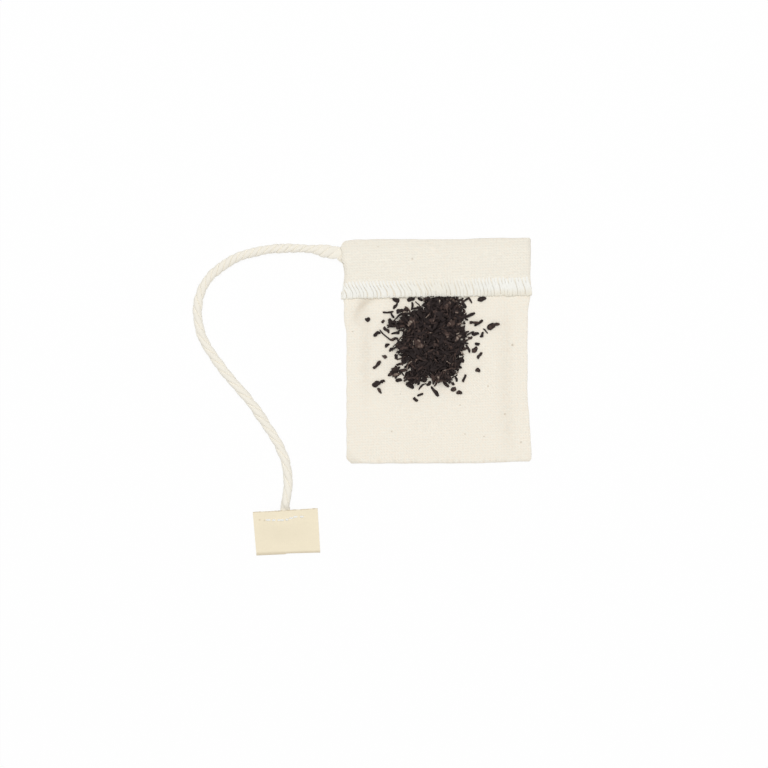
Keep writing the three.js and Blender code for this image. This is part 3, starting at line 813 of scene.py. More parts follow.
class TapeFinish(Finish):
    """Ribbed cotton tape, browner along its cut edge, with painted shade along its fold and in its needle
    holes.
    """

    RIB_PITCH = 0.8 * MM
    RIB_SHADE = 0.05
    DOT_SHADE = 0.2
    DOT_ENDS = (0.4, 0.65)
    MOTTLE_SIZE = 0.6 * MM
    MOTTLE_SHADE = 0.8
    PATCH_SIZE = 5 * MM
    PATCH_SHADE = 0.5
    SHADE_SHIFT = 0.15
    DARK = 0.965
    LIGHT = 1.03
    RAGGED = 0.5 * MM
    RAGGED_SIZE = 1.2 * MM
    TOP_ENDS = (0.55 * MM, 0.95 * MM)
    BROKEN_SIZE = 2.4 * MM
    BROKEN_STRETCH = 0.2
    BROKEN_ENDS = (0.36, 0.5)
    FOLD_STARTS = 0.6 * MM
    FOLD_ENDS = 0.3 * MM
    FOLD_SHARE = 0.7
    HOLE_SHARE = 0.6
    EDGE_SHARE = 0.75
    RIB_RELIEF = 0.4
    THREAD_RELIEF = 0.3
    RELIEF = 0.03 * MM
    RELIEF_STRENGTH = 0.6
    ROUGHNESS = 0.85
    SHINE = 0.15

    def own_place(self, place, turn):
        """The parts of a place across the tag and down from its cut edges."""
        x, y = self.flat_place(place)
        aside = x - TAG_TOP[0]
        above = y - TAG_TOP[1]
        across = aside * math.cos(turn) + above * math.sin(turn)
        return across, aside * math.sin(turn) - above * math.cos(turn)

    def edges(self, tag, place, across, down):
        """How far the tape goes towards its edge colour: along its cut edges, and as painted shade along its
        fold and in its needle holes.
        """
        ragged = self.cloud(place, self.RAGGED_SIZE) * self.RAGGED
        broken = self.cloud(self.stretched(place, (1, self.BROKEN_STRETCH, 1)), self.BROKEN_SIZE)
        top = (1 - (down + ragged).rise(*self.TOP_ENDS)) * broken.rise(*self.BROKEN_ENDS)
        foot = down - across * (TAG_FOLD_TILT / tag.width) + ragged
        fold = foot.rise(tag.length - self.FOLD_STARTS, tag.length + self.FOLD_ENDS)
        holes = self.flecks(across, down, TAG_HOLES)
        return top.larger(fold * self.FOLD_SHARE).larger(holes * self.HOLE_SHARE) * self.EDGE_SHARE

    def make(self, tag):
        place = self.place()
        across, down = self.own_place(place, tag.turn)
        ribs = (down * (FULL_TURN / self.RIB_PITCH)).cosine()
        threads = (across * (FULL_TURN / self.RIB_PITCH)).cosine()
        mottle = self.cloud(place, self.MOTTLE_SIZE)
        patches = self.cloud(place, self.PATCH_SIZE)
        dots = ribs * threads * patches.rise(*self.DOT_ENDS)
        shade = mottle * self.MOTTLE_SHADE + patches * self.PATCH_SHADE + ribs * self.RIB_SHADE
        shade = (shade + dots * self.DOT_SHADE - self.SHADE_SHIFT).rise(0, 1)
        tape = self.blend(opaque(tag.tint, self.DARK), opaque(tag.tint, self.LIGHT), shade)
        edges = self.edges(tag, place, across, down)
        relief = ribs * self.RIB_RELIEF + threads * self.THREAD_RELIEF + mottle
        return self.surface({
            "Base Color": self.blend(tape, opaque(tag.edge_tint), edges),
            "Normal": self.bump(relief, self.RELIEF, self.RELIEF_STRENGTH),
            "Roughness": self.ROUGHNESS,
            "Specular IOR Level": self.SHINE,
        })


# The pouch's cloth


class PouchForm:
    """Where the folded cloth lies: its outline and the levels of its panels."""

    # Grooves beside the turned-in allowances: distance in from the side, half width and where they rise
    GROOVE_DEPTH = 0.5
    LEFT_GROOVE = (7.6 * MM, 2.2 * MM)
    LEFT_GROOVE_RISES = (-28 * MM, -4 * MM)
    RIGHT_GROOVE = (8.7 * MM, 3 * MM)
    RIGHT_GROOVE_SHARE = 0.8
    RIGHT_GROOVE_RISES = (-46 * MM, -32 * MM)
    RIGHT_GROOVE_FADES = (10 * MM, 17 * MM)
    RIGHT_GROOVE_LOSS = 0.75
    RIDGE = (4 * MM, 2.2 * MM)
    RIDGE_SHARE = 0.2
    # The round fold below the flap's left end, and the pulled corner
    FOLD_DEPTH = 0.8
    FOLD_CENTRE = (-22 * MM, 12 * MM)
    FOLD_ROUND = (10.6 * MM, 1.5 * MM)
    FOLD_RISES = (9 * MM, 15 * MM)
    FOLD_STARTS = (-21 * MM, -26 * MM)
    FOLD_DEEPENS = (15 * MM, 20 * MM)
    FOLD_GAIN = 0.5
    CORNER_DEPTH = 0.9
    CORNER_LINE = -74 * MM
    CORNER_EASE = 7 * MM
    # Depths and heights of the unevenness, in mm, and the size and seed of each ripple
    HOLLOW = 0.4
    SLACK = 0.08
    FINE_SLACK_SHARE = 0.5
    SLACK_RIPPLE = (13 * MM, 4)
    FINE_SLACK_RIPPLE = (5 * MM, 9)
    PUCKER = 0.06
    PUCKER_STRETCH = 0.3
    PUCKER_RIPPLE = (2.6 * MM, 6)
    PUCKER_BAND = (3 * MM, 3 * MM)
    WAVE = 0.09
    WAVE_RIPPLE = (11 * MM, 12)
    FINE_WAVE = 0.04
    FINE_WAVE_RIPPLE = (4 * MM, 13)
    LEFT_RIPPLE = (4 * MM, 30)
    TOP_RIPPLE = (5 * MM, 31)
    RIGHT_RIPPLE = (4 * MM, 32)
    BOTTOM_RIPPLE = (5 * MM, 33)
    # How the flap lies
    LIFT_HALF = 23 * MM
    HANG_EASE = 4 * MM
    TIGHT_ROLL_LOSS = 0.6
    TIGHT_ROLL_HALF = 3 * MM

    def __init__(self, pouch):
        self.pouch = pouch
        self.low = POUCH_LOW.y
        self.high = POUCH_HIGH.y
        self.half_width = POUCH_HIGH.x

    def left(self, y):
        side = mix(BODY_LEFT, SHOULDER_LEFT, between(y, LEFT_WIDENS))
        side = side - FLAP_LEFT_OUT * between(y, FLAP_WIDENS)
        side = side + self.dent(y) + EDGE_WAVE * ripple(0.0, y, *self.LEFT_RIPPLE)
        side = side - CORD_PULL * between(y, CORD_PULL_STARTS) * between(y, CORD_PULL_ENDS)
        side = side - CORD_TUG * hump(y, CORD_TUG_PLACE, CORD_TUG_HALF)
        bottom = corner_inset(y - self.low, BOTTOM_LEFT_CORNER)
        return side + bottom + corner_inset(self.high - y, TOP_LEFT_CORNER)

    def right(self, y):
        side = BODY_RIGHT + (SHOULDER_RIGHT - BODY_RIGHT) * between(y, RIGHT_WIDENS)
        side = side + (FOOT_RIGHT - BODY_RIGHT) * between(y, FOOT_WIDENS)
        side = side - self.dent(y) + EDGE_WAVE * ripple(0.0, y, *self.RIGHT_RIPPLE)
        bottom = corner_inset(y - self.low, BOTTOM_RIGHT_CORNER)
        return side - bottom - corner_inset(self.high - y, TOP_RIGHT_CORNER)

    def dent(self, y):
        """How far the sides draw in between the cord and the flap's edge."""
        return DENT * hump(y, DENT_PLACE, DENT_HALF)

    def flare(self, x, y):
        """How far the flap's left or right side spreads by its cut edge."""
        spread = FLAP_FLARE * bell((y - self.pouch.flap_edge + FLARE_DROP) / FLARE_HALF)
        return spread * np.where(x < 0, 1.0, RIGHT_FLARE_SHARE)

    def upright(self, x, y):
        """Moves a place on the plain pouch up or down to the uneven top and bottom folds."""
        bottom = BOTTOM_LINE + BOTTOM_RISE * between(x, BOTTOM_CLIMBS)
        bottom = bottom + EDGE_WAVE * ripple(x, 0.0, *self.BOTTOM_RIPPLE)
        top = TOP_LINE + TOP_RISE * between(x, TOP_CLIMBS) - TOP_SAG * between(x, TOP_SAGS)
        top = top + EDGE_WAVE * ripple(x, 0.0, *self.TOP_RIPPLE)
        return mix(bottom, top, (y - self.low) / (self.high - self.low)) + self.hang(x, y)

    def hang(self, x, y):
        """How far the flap's band strays up from a level line, and the cloth near it with it."""
        edge = self.pouch.flap_edge
        arch = FLAP_ARCH * swell((x - ARCH_PLACE) / ARCH_HALF)
        low = arch - FLAP_DROOP * between(x, DROOPS)
        high = mix(BAND_LOW, BAND_HIGH, between(x, BAND_TILTS))
        stray = mix(low, high, np.clip((y - edge) / BAND, 0, 1))
        fold = self.high - self.HANG_EASE
        return stray * between(y, (edge - BAND_EASE, edge)) * between(y, (fold, edge + BAND))

    def inset(self, x, y):
        """Distance in from the nearer side."""
        return np.minimum(x - self.left(y), self.right(y) - x)

    def cord_slot(self, x, y):
        """1 where the cord parts the cloth in the left side seam, and 0 away from it."""
        beside = smooth(1 - (np.abs(y - CORD_EXIT[1]) - CORD_SLOT_HALF) / CORD_SLOT_EASE)
        return np.where(x < 0, beside, 0.0)

    def grooves(self, x, y):
        """Depth of the front panel's grooves beside the turned-in allowances."""
        inset = self.inset(x, y)
        right_side = np.where(x > 0, 1.0, 0.0)
        left = hump(inset, *self.LEFT_GROOVE) * (1 - right_side)
        left = left * between(y, self.LEFT_GROOVE_RISES)
        ridge = self.RIDGE_SHARE * hump(inset, *self.RIDGE)
        right = (self.RIGHT_GROOVE_SHARE * hump(inset, *self.RIGHT_GROOVE) - ridge) * right_side
        right = right * between(y, self.RIGHT_GROOVE_RISES)
        right = right * (1 - self.RIGHT_GROOVE_LOSS * between(y, self.RIGHT_GROOVE_FADES))
        return left + right

    def round_fold(self, x, y):
        """Depth of the fold below the flap's left end."""
        reach = np.hypot(x - self.FOLD_CENTRE[0], y - self.FOLD_CENTRE[1])
        fold = hump(reach, *self.FOLD_ROUND) * between(y, self.FOLD_RISES) * between(x, self.FOLD_STARTS)
        return fold * (1 + self.FOLD_GAIN * between(y, self.FOLD_DEEPENS))

    def hollows(self, x, y):
        """Depth, up to about 1, of all the front panel's hollows, which both shape the panel and set its
        painted shade.
        """
        corner = smooth((self.CORNER_LINE - x - y) / self.CORNER_EASE)
        hollows = self.GROOVE_DEPTH * self.grooves(x, y) + self.FOLD_DEPTH * self.round_fold(x, y)
        return hollows + self.CORNER_DEPTH * corner

    def creases(self, x, y):
        """How far the front panel's hollows, slack and puckered seams move it from a plain crown."""
        inset = self.inset(x, y)
        fine = self.FINE_SLACK_SHARE * ripple(x, y, *self.FINE_SLACK_RIPPLE)
        slack = ripple(x, y, *self.SLACK_RIPPLE) + fine
        puckers = ripple(inset * self.PUCKER_STRETCH, y, *self.PUCKER_RIPPLE) * hump(inset, *self.PUCKER_BAND)
        return (self.SLACK * slack + self.PUCKER * puckers - self.HOLLOW * self.hollows(x, y)) * MM

    def crown(self, x, y):
        """How far the front panel stands up between its seams."""
        pocket = self.half_width - self.pouch.allowance
        return self.pouch.crown * swell(x / pocket) * swell(y / self.high)

    def front_top(self, x, y):
        """Upper surface of the front panel."""
        return self.pouch.stack + self.crown(x, y) + self.creases(x, y)

    def flap_top(self, x, y):
        """Upper surface of the flap."""
        dropped = smooth((self.high - y) / (self.high - self.pouch.flap_edge))
        lift = self.pouch.tea_lift * swell((x - TEA_MIDDLE[0]) / self.LIFT_HALF) * dropped
        rise = mix(self.pouch.flap_rise, self.pouch.edge_rise, dropped) + lift
        fine = self.FINE_WAVE * ripple(x, y, *self.FINE_WAVE_RIPPLE)
        waves = (self.WAVE * ripple(x, y, *self.WAVE_RIPPLE) + fine) * MM
        curl = EDGE_CURL * (1 - quarter_round((y - self.pouch.flap_edge) / CURL_LENGTH))
        return self.pouch.stack + self.crown(x, y) + rise + self.pouch.cloth + waves - curl

    def front_level(self, x, y, inset):
        level = self.front_top(x, y) - self.pouch.cloth / 2
        return mix(SEAM_HIGH, level, quarter_round(inset / self.pouch.roll))

    def back_level(self, x, y, inset):
        seam = mix(SEAM_LOW, CORD_SLOT_LOW, self.cord_slot(x, y))
        return mix(seam, self.pouch.cloth / 2, quarter_round(inset / self.pouch.roll))

    def flap_level(self, x, y, inset):
        level = self.flap_top(x, y) - self.pouch.cloth / 2
        seam = mix(SEAM_HIGH, CORD_SLOT_HIGH, self.cord_slot(x, y))
        tight = self.TIGHT_ROLL_LOSS * hump(y, self.pouch.flap_edge, self.TIGHT_ROLL_HALF)
        return mix(seam, level, quarter_round(inset / (self.pouch.flap_roll * (1 - tight))))

    def flap_at(self, x, y):
        """A point in the middle of the flap's ply."""
        inset = self.inset(x, y) + self.flare(x, y)
        return np.array((x, self.upright(x, y), self.flap_level(x, y, inset)))


class PouchCloth:
    """The rows of points that run over the front, round the bottom, up the back and over the flap."""

    COLUMN_STEP = 0.85 * MM
    ROW_STEP = 0.8 * MM
    EDGE_INSETS = np.array((0, 0.015, 0.07, 0.17, 0.34, 0.6, 0.95, 1.4, 1.95, 2.6)) * MM
    BOTTOM_FOLD = 0.9 * MM
    TOP_FOLD = 2.3 * MM
    FOLD_ROWS = 13
    FRONT_TUCK = 1.5 * MM
    TUCK_EASE = 0.6 * MM
    SPECK_RIPPLE = (1.1 * MM, 35)
    SPECK_HALF = 1.3 * MM
    TUG_REACH = 3 * MM
    RISE_HALF = 2.2 * BACK_TUG_HALF
    RISE_REACH = 2.6 * MM
    LEFT_RIM = 1.3 * MM
    TOP_RIM = 2.4 * MM
    SEWN_FADES = (-4 * MM, -0.4 * MM)

    def __init__(self, form):
        self.form = form
        self.shares = self.column_shares()
        self.rows = []
        self.tones = []

    def column_shares(self):
        """Columns across the cloth, from -1 at the left side to 1 at the right, closer by the sides."""
        edge = 1 - self.EDGE_INSETS / self.form.half_width
        count = int(2 * self.form.half_width / self.COLUMN_STEP)
        inner = np.linspace(-edge[-1], edge[-1], count)[1:-1]
        return np.concatenate((-edge, inner, edge[::-1]))

    def across(self, y, left_tuck=0.0, right_tuck=0.0):
        left = self.form.left(y) + left_tuck
        right = self.form.right(y) - right_tuck
        return mix(left, right, (self.shares + 1) / 2)

    def add_row(self, x, y, z, tone):
        self.rows.append(np.stack((x, self.form.upright(x, np.full_like(x, y)), z), axis=-1))
        self.tones.append(tone)

    def front_row(self, y):
        edge = self.form.pouch.flap_edge
        tuck = self.FRONT_TUCK * between(y, (edge - self.TUCK_EASE, edge + self.TUCK_EASE))
        x = self.across(y, tuck, tuck)
        level = self.form.front_level(x, y, from_ends(x))
        # Painted shade in the hollows, and in broken specks along the bottom fold
        broken_fold_shade = smooth(ripple(x, 0.0, *self.SPECK_RIPPLE)) * hump(y, self.form.low, self.SPECK_HALF)
        return x, level, 1 - HOLLOW_SHADE * self.form.hollows(x, y) - FOOT_SHADE * broken_fold_shade

    def back_row(self, y):
        x = self.across(y)
        level = self.form.back_level(x, y, from_ends(x))
        tug = hump(y, BACK_TUG_PLACE, BACK_TUG_HALF) * hump(x, x[0], self.TUG_REACH)
        rise = hump(y, BACK_TUG_PLACE, self.RISE_HALF) * hump(x, x[0], self.RISE_REACH)
        return x - BACK_TUG * tug, level + BACK_TUG_RISE * rise, np.ones_like(x)

    def flap_row(self, y):
        x = self.across(y, -self.form.flare(-1, y), -self.form.flare(1, y))
        level = self.form.flap_level(x, y, from_ends(x))
        # Painted shade along the flap's left rim, along its top fold and on the cloth under the stitches
        side = LEFT_RIM_SHADE * hump(x, x[0], self.LEFT_RIM)
        top = TOP_RIM_SHADE * hump(y, self.form.high, self.TOP_RIM)
        above = y - self.form.pouch.flap_edge - BAND
        sewn = SEWN_SHADE * (1 - between(above, self.SEWN_FADES))
        return x, level, 1 - side - top - sewn

    def add_panel(self, start, end, row):
        count = int(abs(end - start) / self.ROW_STEP) + 1
        for y in np.linspace(start, end, count):
            x, level, tone = row(y)
            self.add_row(x, y, level, tone)

    def add_fold(self, edge, inward, first, second):
        """The half round that turns one panel into the next."""
        for turn in np.linspace(0, math.pi, self.FOLD_ROWS)[1:-1]:
            y = edge + inward * (1 - math.sin(turn))
            top, top_tone = first(edge + inward)[1:]
            low, low_tone = second(edge + inward)[1:]
            share = fold_share(turn)
            self.add_row(self.across(y), y, mix(low, top, share), mix(low_tone, top_tone, share))

    def grid(self):
        low = self.form.low
        high = self.form.high
        pouch = self.form.pouch
        self.add_panel(pouch.mouth, low + self.BOTTOM_FOLD, self.front_row)
        self.add_fold(low, self.BOTTOM_FOLD, self.front_row, self.back_row)
        self.add_panel(low + self.BOTTOM_FOLD, high - self.TOP_FOLD, self.back_row)
        self.add_fold(high, -self.TOP_FOLD, self.back_row, self.flap_row)
        self.add_panel(high - self.TOP_FOLD, pouch.flap_edge, self.flap_row)
        return np.stack(self.rows)


class TEABAG_OT_pouch(bpy.types.Operator):
    """Folds the pouch from one cloth"""

    bl_idname = "tea_bag.pouch"
    bl_label = "Muslin Pouch"

    def execute(self, context):
        pouch = context.scene.tea_bag_pouch
        form = PouchForm(pouch)
        cloth = PouchCloth(form)
        points, faces = thick_sheet(cloth.grid(), pouch.cloth)
        shape = Shape()
        shape.add(points, faces, np.tile(np.concatenate(cloth.tones), 2))
        piece = shape.make("muslin_pouch", MuslinFinish("muslin").make(pouch))
        seat(piece, "pouch")
        return {"FINISHED"}


# Overlock


class OverlockStitch:
    """One stitch: strands that slant down the flap and roll over its cut edge."""

    STRANDS = 2
    SIDES = 8
    TOP_POINTS = 14
    WRAP_POINTS = 7
    SPREAD = 0.58 * MM
    TOP_SPREAD = 0.5
    ROLL = 0.72 * MM
    UNDER = 2.5 * MM
    UNDER_ROOM = 0.06 * MM
    OVERHANG = 0.1 * MM
    PAIRING = 0.08 * MM
    PAIRED_TO = (-8 * MM, -20 * MM)
    LEANS_TO = (-16 * MM, 8 * MM)
    # Shares of the band's height between which a strand slants, and over which it rises from the cloth
    SLANTS = (0.1, 1.0)
    RISES = (1.02, 0.62)
    LEAST_RISE = 0.02 * MM
    RISE_SPREAD = 0.1 * MM
    TOP_SHARE = 0.99
    TOP_SINK = 0.1 * MM
    # Widths of a strand at its top and below, as shares of the thread: at the band's ends and its middle
    TOP_WIDTH = (0.88, 0.76)
    LOW_WIDTH = (1.12, 0.92)
    WIDENS = (0.0, 0.45)
    OPEN_AT = 3 * MM
    OPEN_HALF = 17 * MM
    CLOSES_TO = (-14 * MM, -2 * MM)
    CLOSED = 0.28
    CLOSED_AT = 0.33
    CLOSED_HALF = 0.13
    # Spread of chance in a stitch and in each of its strands
    LEAN_STRAY = 0.08
    ROLL_STRAY = 0.08 * MM
    STRAND_LEAN_STRAY = 0.06
    STRAND_ROLL_STRAY = 0.1 * MM
    SPREAD_STRAY = 0.05 * MM
    WIDTH_STRAY = 0.08
    TOP_STRAY = 0.2 * MM
    # Broken lines of painted shade along the strands' flanks
    DASHES = 10
    FAINT_DASHES = 3
    TOP_DASHES = 5
    DASH_POWER = 1.8
    DASH_DEPTH = (0.5, 1.0)
    DASHED_TO = 0.8
    FLANK_POWER = 3
    FAINT = 0.5
    LOW_DASHES = 0.6
    QUIET = 0.2
    # How much painted shade the thread has: towards the cut edge, in the band's middle and at its foot
    DULL = (0.05, 0.45)
    DULL_TO = (2 * MM, 26 * MM)
    DULL_FROM = (0.36, 0.7)
    MIDDLE_DULL = 0.25
    MIDDLE_HALF = 15 * MM
    FOOT_DULL = 0.3
    FOOT_FROM = (0.6, 0.74)
    # The thread along the cut edge, its tone a little into painted shade
    CORE = 0.32 * MM
    CORE_STEP = 0.8 * MM
    CORE_TONE = 0.9

    def __init__(self, form, overlock, draw):
        self.form = form
        self.overlock = overlock
        self.draw = draw

    def ends(self, y, past):
        """The flap's left and right side at a height, moved out by a distance."""
        left = self.form.left(y) - self.form.flare(-1, y) - past
        return left, self.form.right(y) + self.form.flare(1, y) + past

    def opened(self, x):
        """1 where the strands part most, near the band's middle, and 0 at its ends."""
        return hump(x, self.OPEN_AT, self.OPEN_HALF)

    def strand(self, x, lean, roll, spread):
        """The line of one strand from the top of the band over the edge to the underside."""
        top = self.overlock.width + self.draw.normal(0, self.TOP_STRAY)
        rise = self.LEAST_RISE + self.RISE_SPREAD * self.draw.random() + 0.5 * self.overlock.thread
        edge = self.form.pouch.flap_edge
        half = self.form.pouch.cloth / 2
        line = []
        for up in np.linspace(top, 0.0, self.TOP_POINTS):
            share = up / self.overlock.width
            slant = lean * (1 - between(share, self.SLANTS))
            over = half + rise * between(share, self.RISES) - self.TOP_SINK * (share > self.TOP_SHARE)
            aside = x + slant + spread * mix(1, self.TOP_SPREAD, share)
            aside = np.clip(aside, *self.ends(edge + up, self.OVERHANG))
            line.append(self.form.flap_at(aside, edge + up) + UP * over)
        foot = self.form.flap_at(aside, edge)
        under = half + self.UNDER_ROOM
        for turn in np.linspace(math.pi / 2, -math.pi / 2, self.WRAP_POINTS)[1:]:
            level = (over if turn > 0 else under) * math.sin(turn)
            line.append(foot + np.array((0, -roll * math.cos(turn), level)))
        line.append(self.form.flap_at(aside, edge + self.UNDER) - UP * under)
        return np.array(line)

    def dashes(self, x, along):
        """Depth of the broken lines of painted shade along a strand."""
        depth = mix(*self.DASH_DEPTH, self.opened(x))
        dashes = self.draw.uniform(0, 1, self.DASHES) ** self.DASH_POWER * depth
        dashes[:self.FAINT_DASHES] *= self.FAINT
        low = self.draw.random() < self.LOW_DASHES
        quiet = slice(0, self.TOP_DASHES) if low else slice(self.TOP_DASHES, None)
        dashes[quiet] *= mix(1, self.QUIET, between(x, self.CLOSES_TO))
        return np.interp(along, np.linspace(0, self.DASHED_TO, self.DASHES), dashes)

    def painted_shade(self, x, along):
        """How much painted shade the thread has along a strand."""
        edge = mix(*self.DULL, between(x, self.DULL_TO)) * between(along, self.DULL_FROM)
        middle = self.MIDDLE_DULL * bell(x / self.MIDDLE_HALF)
        foot = self.FOOT_DULL * between(along, self.FOOT_FROM)
        return np.maximum(np.maximum(edge, middle), foot)

    def tones(self, x, count):
        """Full tone along a strand's top, with broken lines of painted shade on its flanks, and more painted
        shade towards the cut edge.
        """
        along = np.linspace(0, 1, count)
        flanks = np.abs(np.sin(round_turns(self.SIDES))) ** self.FLANK_POWER
        lines = np.outer(self.dashes(x, along), flanks)
        return ((1 - lines) * (1 - self.painted_shade(x, along))[:, None]).ravel()

    def width(self, x, share):
        """Half width of a strand along its line."""
        opened = self.opened(x)
        width = mix(mix(*self.TOP_WIDTH, opened), mix(*self.LOW_WIDTH, opened), between(share, self.WIDENS))
        closed = self.CLOSED * hump(share, self.CLOSED_AT, self.CLOSED_HALF) * between(x, self.CLOSES_TO)
        return self.overlock.thread * width * (1 + closed) * self.draw.normal(1, self.WIDTH_STRAY)

    def add_core(self, shape):
        """The thread that runs along the cut edge inside the stitches."""
        edge = self.form.pouch.flap_edge
        places = np.arange(*self.ends(edge, -self.CORE), self.CORE_STEP)
        line = np.array([self.form.flap_at(x, edge) for x in places]) - FORWARD * self.CORE
        half = np.full(len(line), self.CORE)
        shape.add(*tube(line, half, half, self.SIDES), self.CORE_TONE)

    def add_to(self, shape, x, side):
        draw = self.draw
        lean = mix(self.overlock.lean, self.overlock.upright_lean, between(x, self.LEANS_TO))
        lean = lean * draw.normal(1, self.LEAN_STRAY) + side * self.PAIRING * between(x, self.PAIRED_TO)
        roll = self.ROLL + draw.normal(0, self.ROLL_STRAY)
        for number in range(self.STRANDS):
            spread = (number - (self.STRANDS - 1) / 2) * self.SPREAD + draw.normal(0, self.SPREAD_STRAY)
            own_lean = lean * draw.normal(1, self.STRAND_LEAN_STRAY)
            own_roll = roll + draw.normal(0, self.STRAND_ROLL_STRAY)
            line = self.strand(x, own_lean, own_roll, spread)
            wide = self.width(x, np.linspace(0, 1, len(line)))
            shape.add(*tube(line, 0.5 * wide, wide, self.SIDES, RIGHT), self.tones(x, len(line)))


class TEABAG_OT_overlock(bpy.types.Operator):
    """Binds the flap's cut edge with overlock stitches"""

    bl_idname = "tea_bag.overlock"
    bl_label = "Overlock Stitching"

    SEED = 21
    STITCH_STRAY = 0.08 * MM
    LAST_INSET = 0.3 * MM

    def execute(self, context):
        overlock = context.scene.tea_bag_overlock
        form = PouchForm(context.scene.tea_bag_pouch)
        draw = np.random.default_rng(self.SEED)
        stitch = OverlockStitch(form, overlock, draw)
        shape = Shape()
        edge = form.pouch.flap_edge
        first = form.left(edge) - overlock.lean - FLAP_FLARE
        last = form.right(edge) - self.LAST_INSET
        for number, x in enumerate(np.arange(first, last, overlock.pitch)):
            side = -1 if number % 2 else 1
            stitch.add_to(shape, x + draw.normal(0, self.STITCH_STRAY), side)
        stitch.add_core(shape)
        finish = CottonFinish("overlock_thread").make(overlock.tint, overlock.groove_shade_tint)
        seat(shape.make("overlock_stitches", finish), "flap_overlock")
        return {"FINISHED"}


# Tea


class TeaPile:
    """Heights of the tea as it gathers, leaf by leaf, on the front panel."""

    STEP = 0.25 * MM
    BORDER = 3
    FLAP_ROOM = 0.6 * MM
    FLAP_MARGIN = 1 * MM
    NO_ROOF = 1.0
    SLOPE_LIMIT = 0.5
    REST_PERCENTILE = 75
    DEPTH_SHARE = 0.8
    WIDTH_SHARE = 0.7

    def __init__(self, form):
        self.x = np.arange(-form.half_width, form.half_width, self.STEP)
        self.y = np.arange(form.low, form.high, self.STEP)
        x, y = np.meshgrid(self.x, self.y, indexing="ij")
        self.height = form.front_top(x, y)
        flap = form.flap_top(x, y) - form.pouch.cloth - self.FLAP_ROOM
        covered = y > form.upright(x, form.pouch.flap_edge) - self.FLAP_MARGIN
        self.room = np.where(covered, flap, self.NO_ROOF)

    def cells(self, line):
        """Column and row of the pile's grid at each point of a line."""
        return self.cell(line[:, 0], self.x), self.cell(line[:, 1], self.y)

    def cell(self, places, steps):
        inner = ((places - steps[0]) / self.STEP).astype(int)
        return np.clip(inner, self.BORDER, len(steps) - self.BORDER - 1)

    def raise_to(self, column, row, reach, levels):
        """Raises square patches of the pile to their levels."""
        for c, r, level in zip(column, row, levels):
            patch = self.height[c - reach:c + reach + 1, r - reach:r + reach + 1]
            np.maximum(patch, level, out=patch)

    def fill(self, points):
        """Raises the pile to a cloud of points."""
        self.raise_to(*self.cells(points), self.BORDER, points[:, 2])

    def settle(self, line, half_width, half_depth):
        """Lowers a leaf's middle line until it rests. False if there is no room for it."""
        column, row = self.cells(line)
        ground = self.height[column, row]
        reach = np.linalg.norm(line[-1, :2] - line[0, :2]) / 2
        along = np.linspace(-reach, reach, len(line))
        slope = np.clip(np.polyfit(along, ground, 1)[0], -self.SLOPE_LIMIT, self.SLOPE_LIMIT)
        rest = np.percentile(ground - slope * along, self.REST_PERCENTILE)
        line[:, 2] += rest + slope * along + self.DEPTH_SHARE * half_depth
        top = line[:, 2] + self.DEPTH_SHARE * half_depth
        if np.any(top > self.room[column, row]):
            return False
        self.raise_to(column, row, max(1, int(self.WIDTH_SHARE * half_width / self.STEP)), top)
        return True


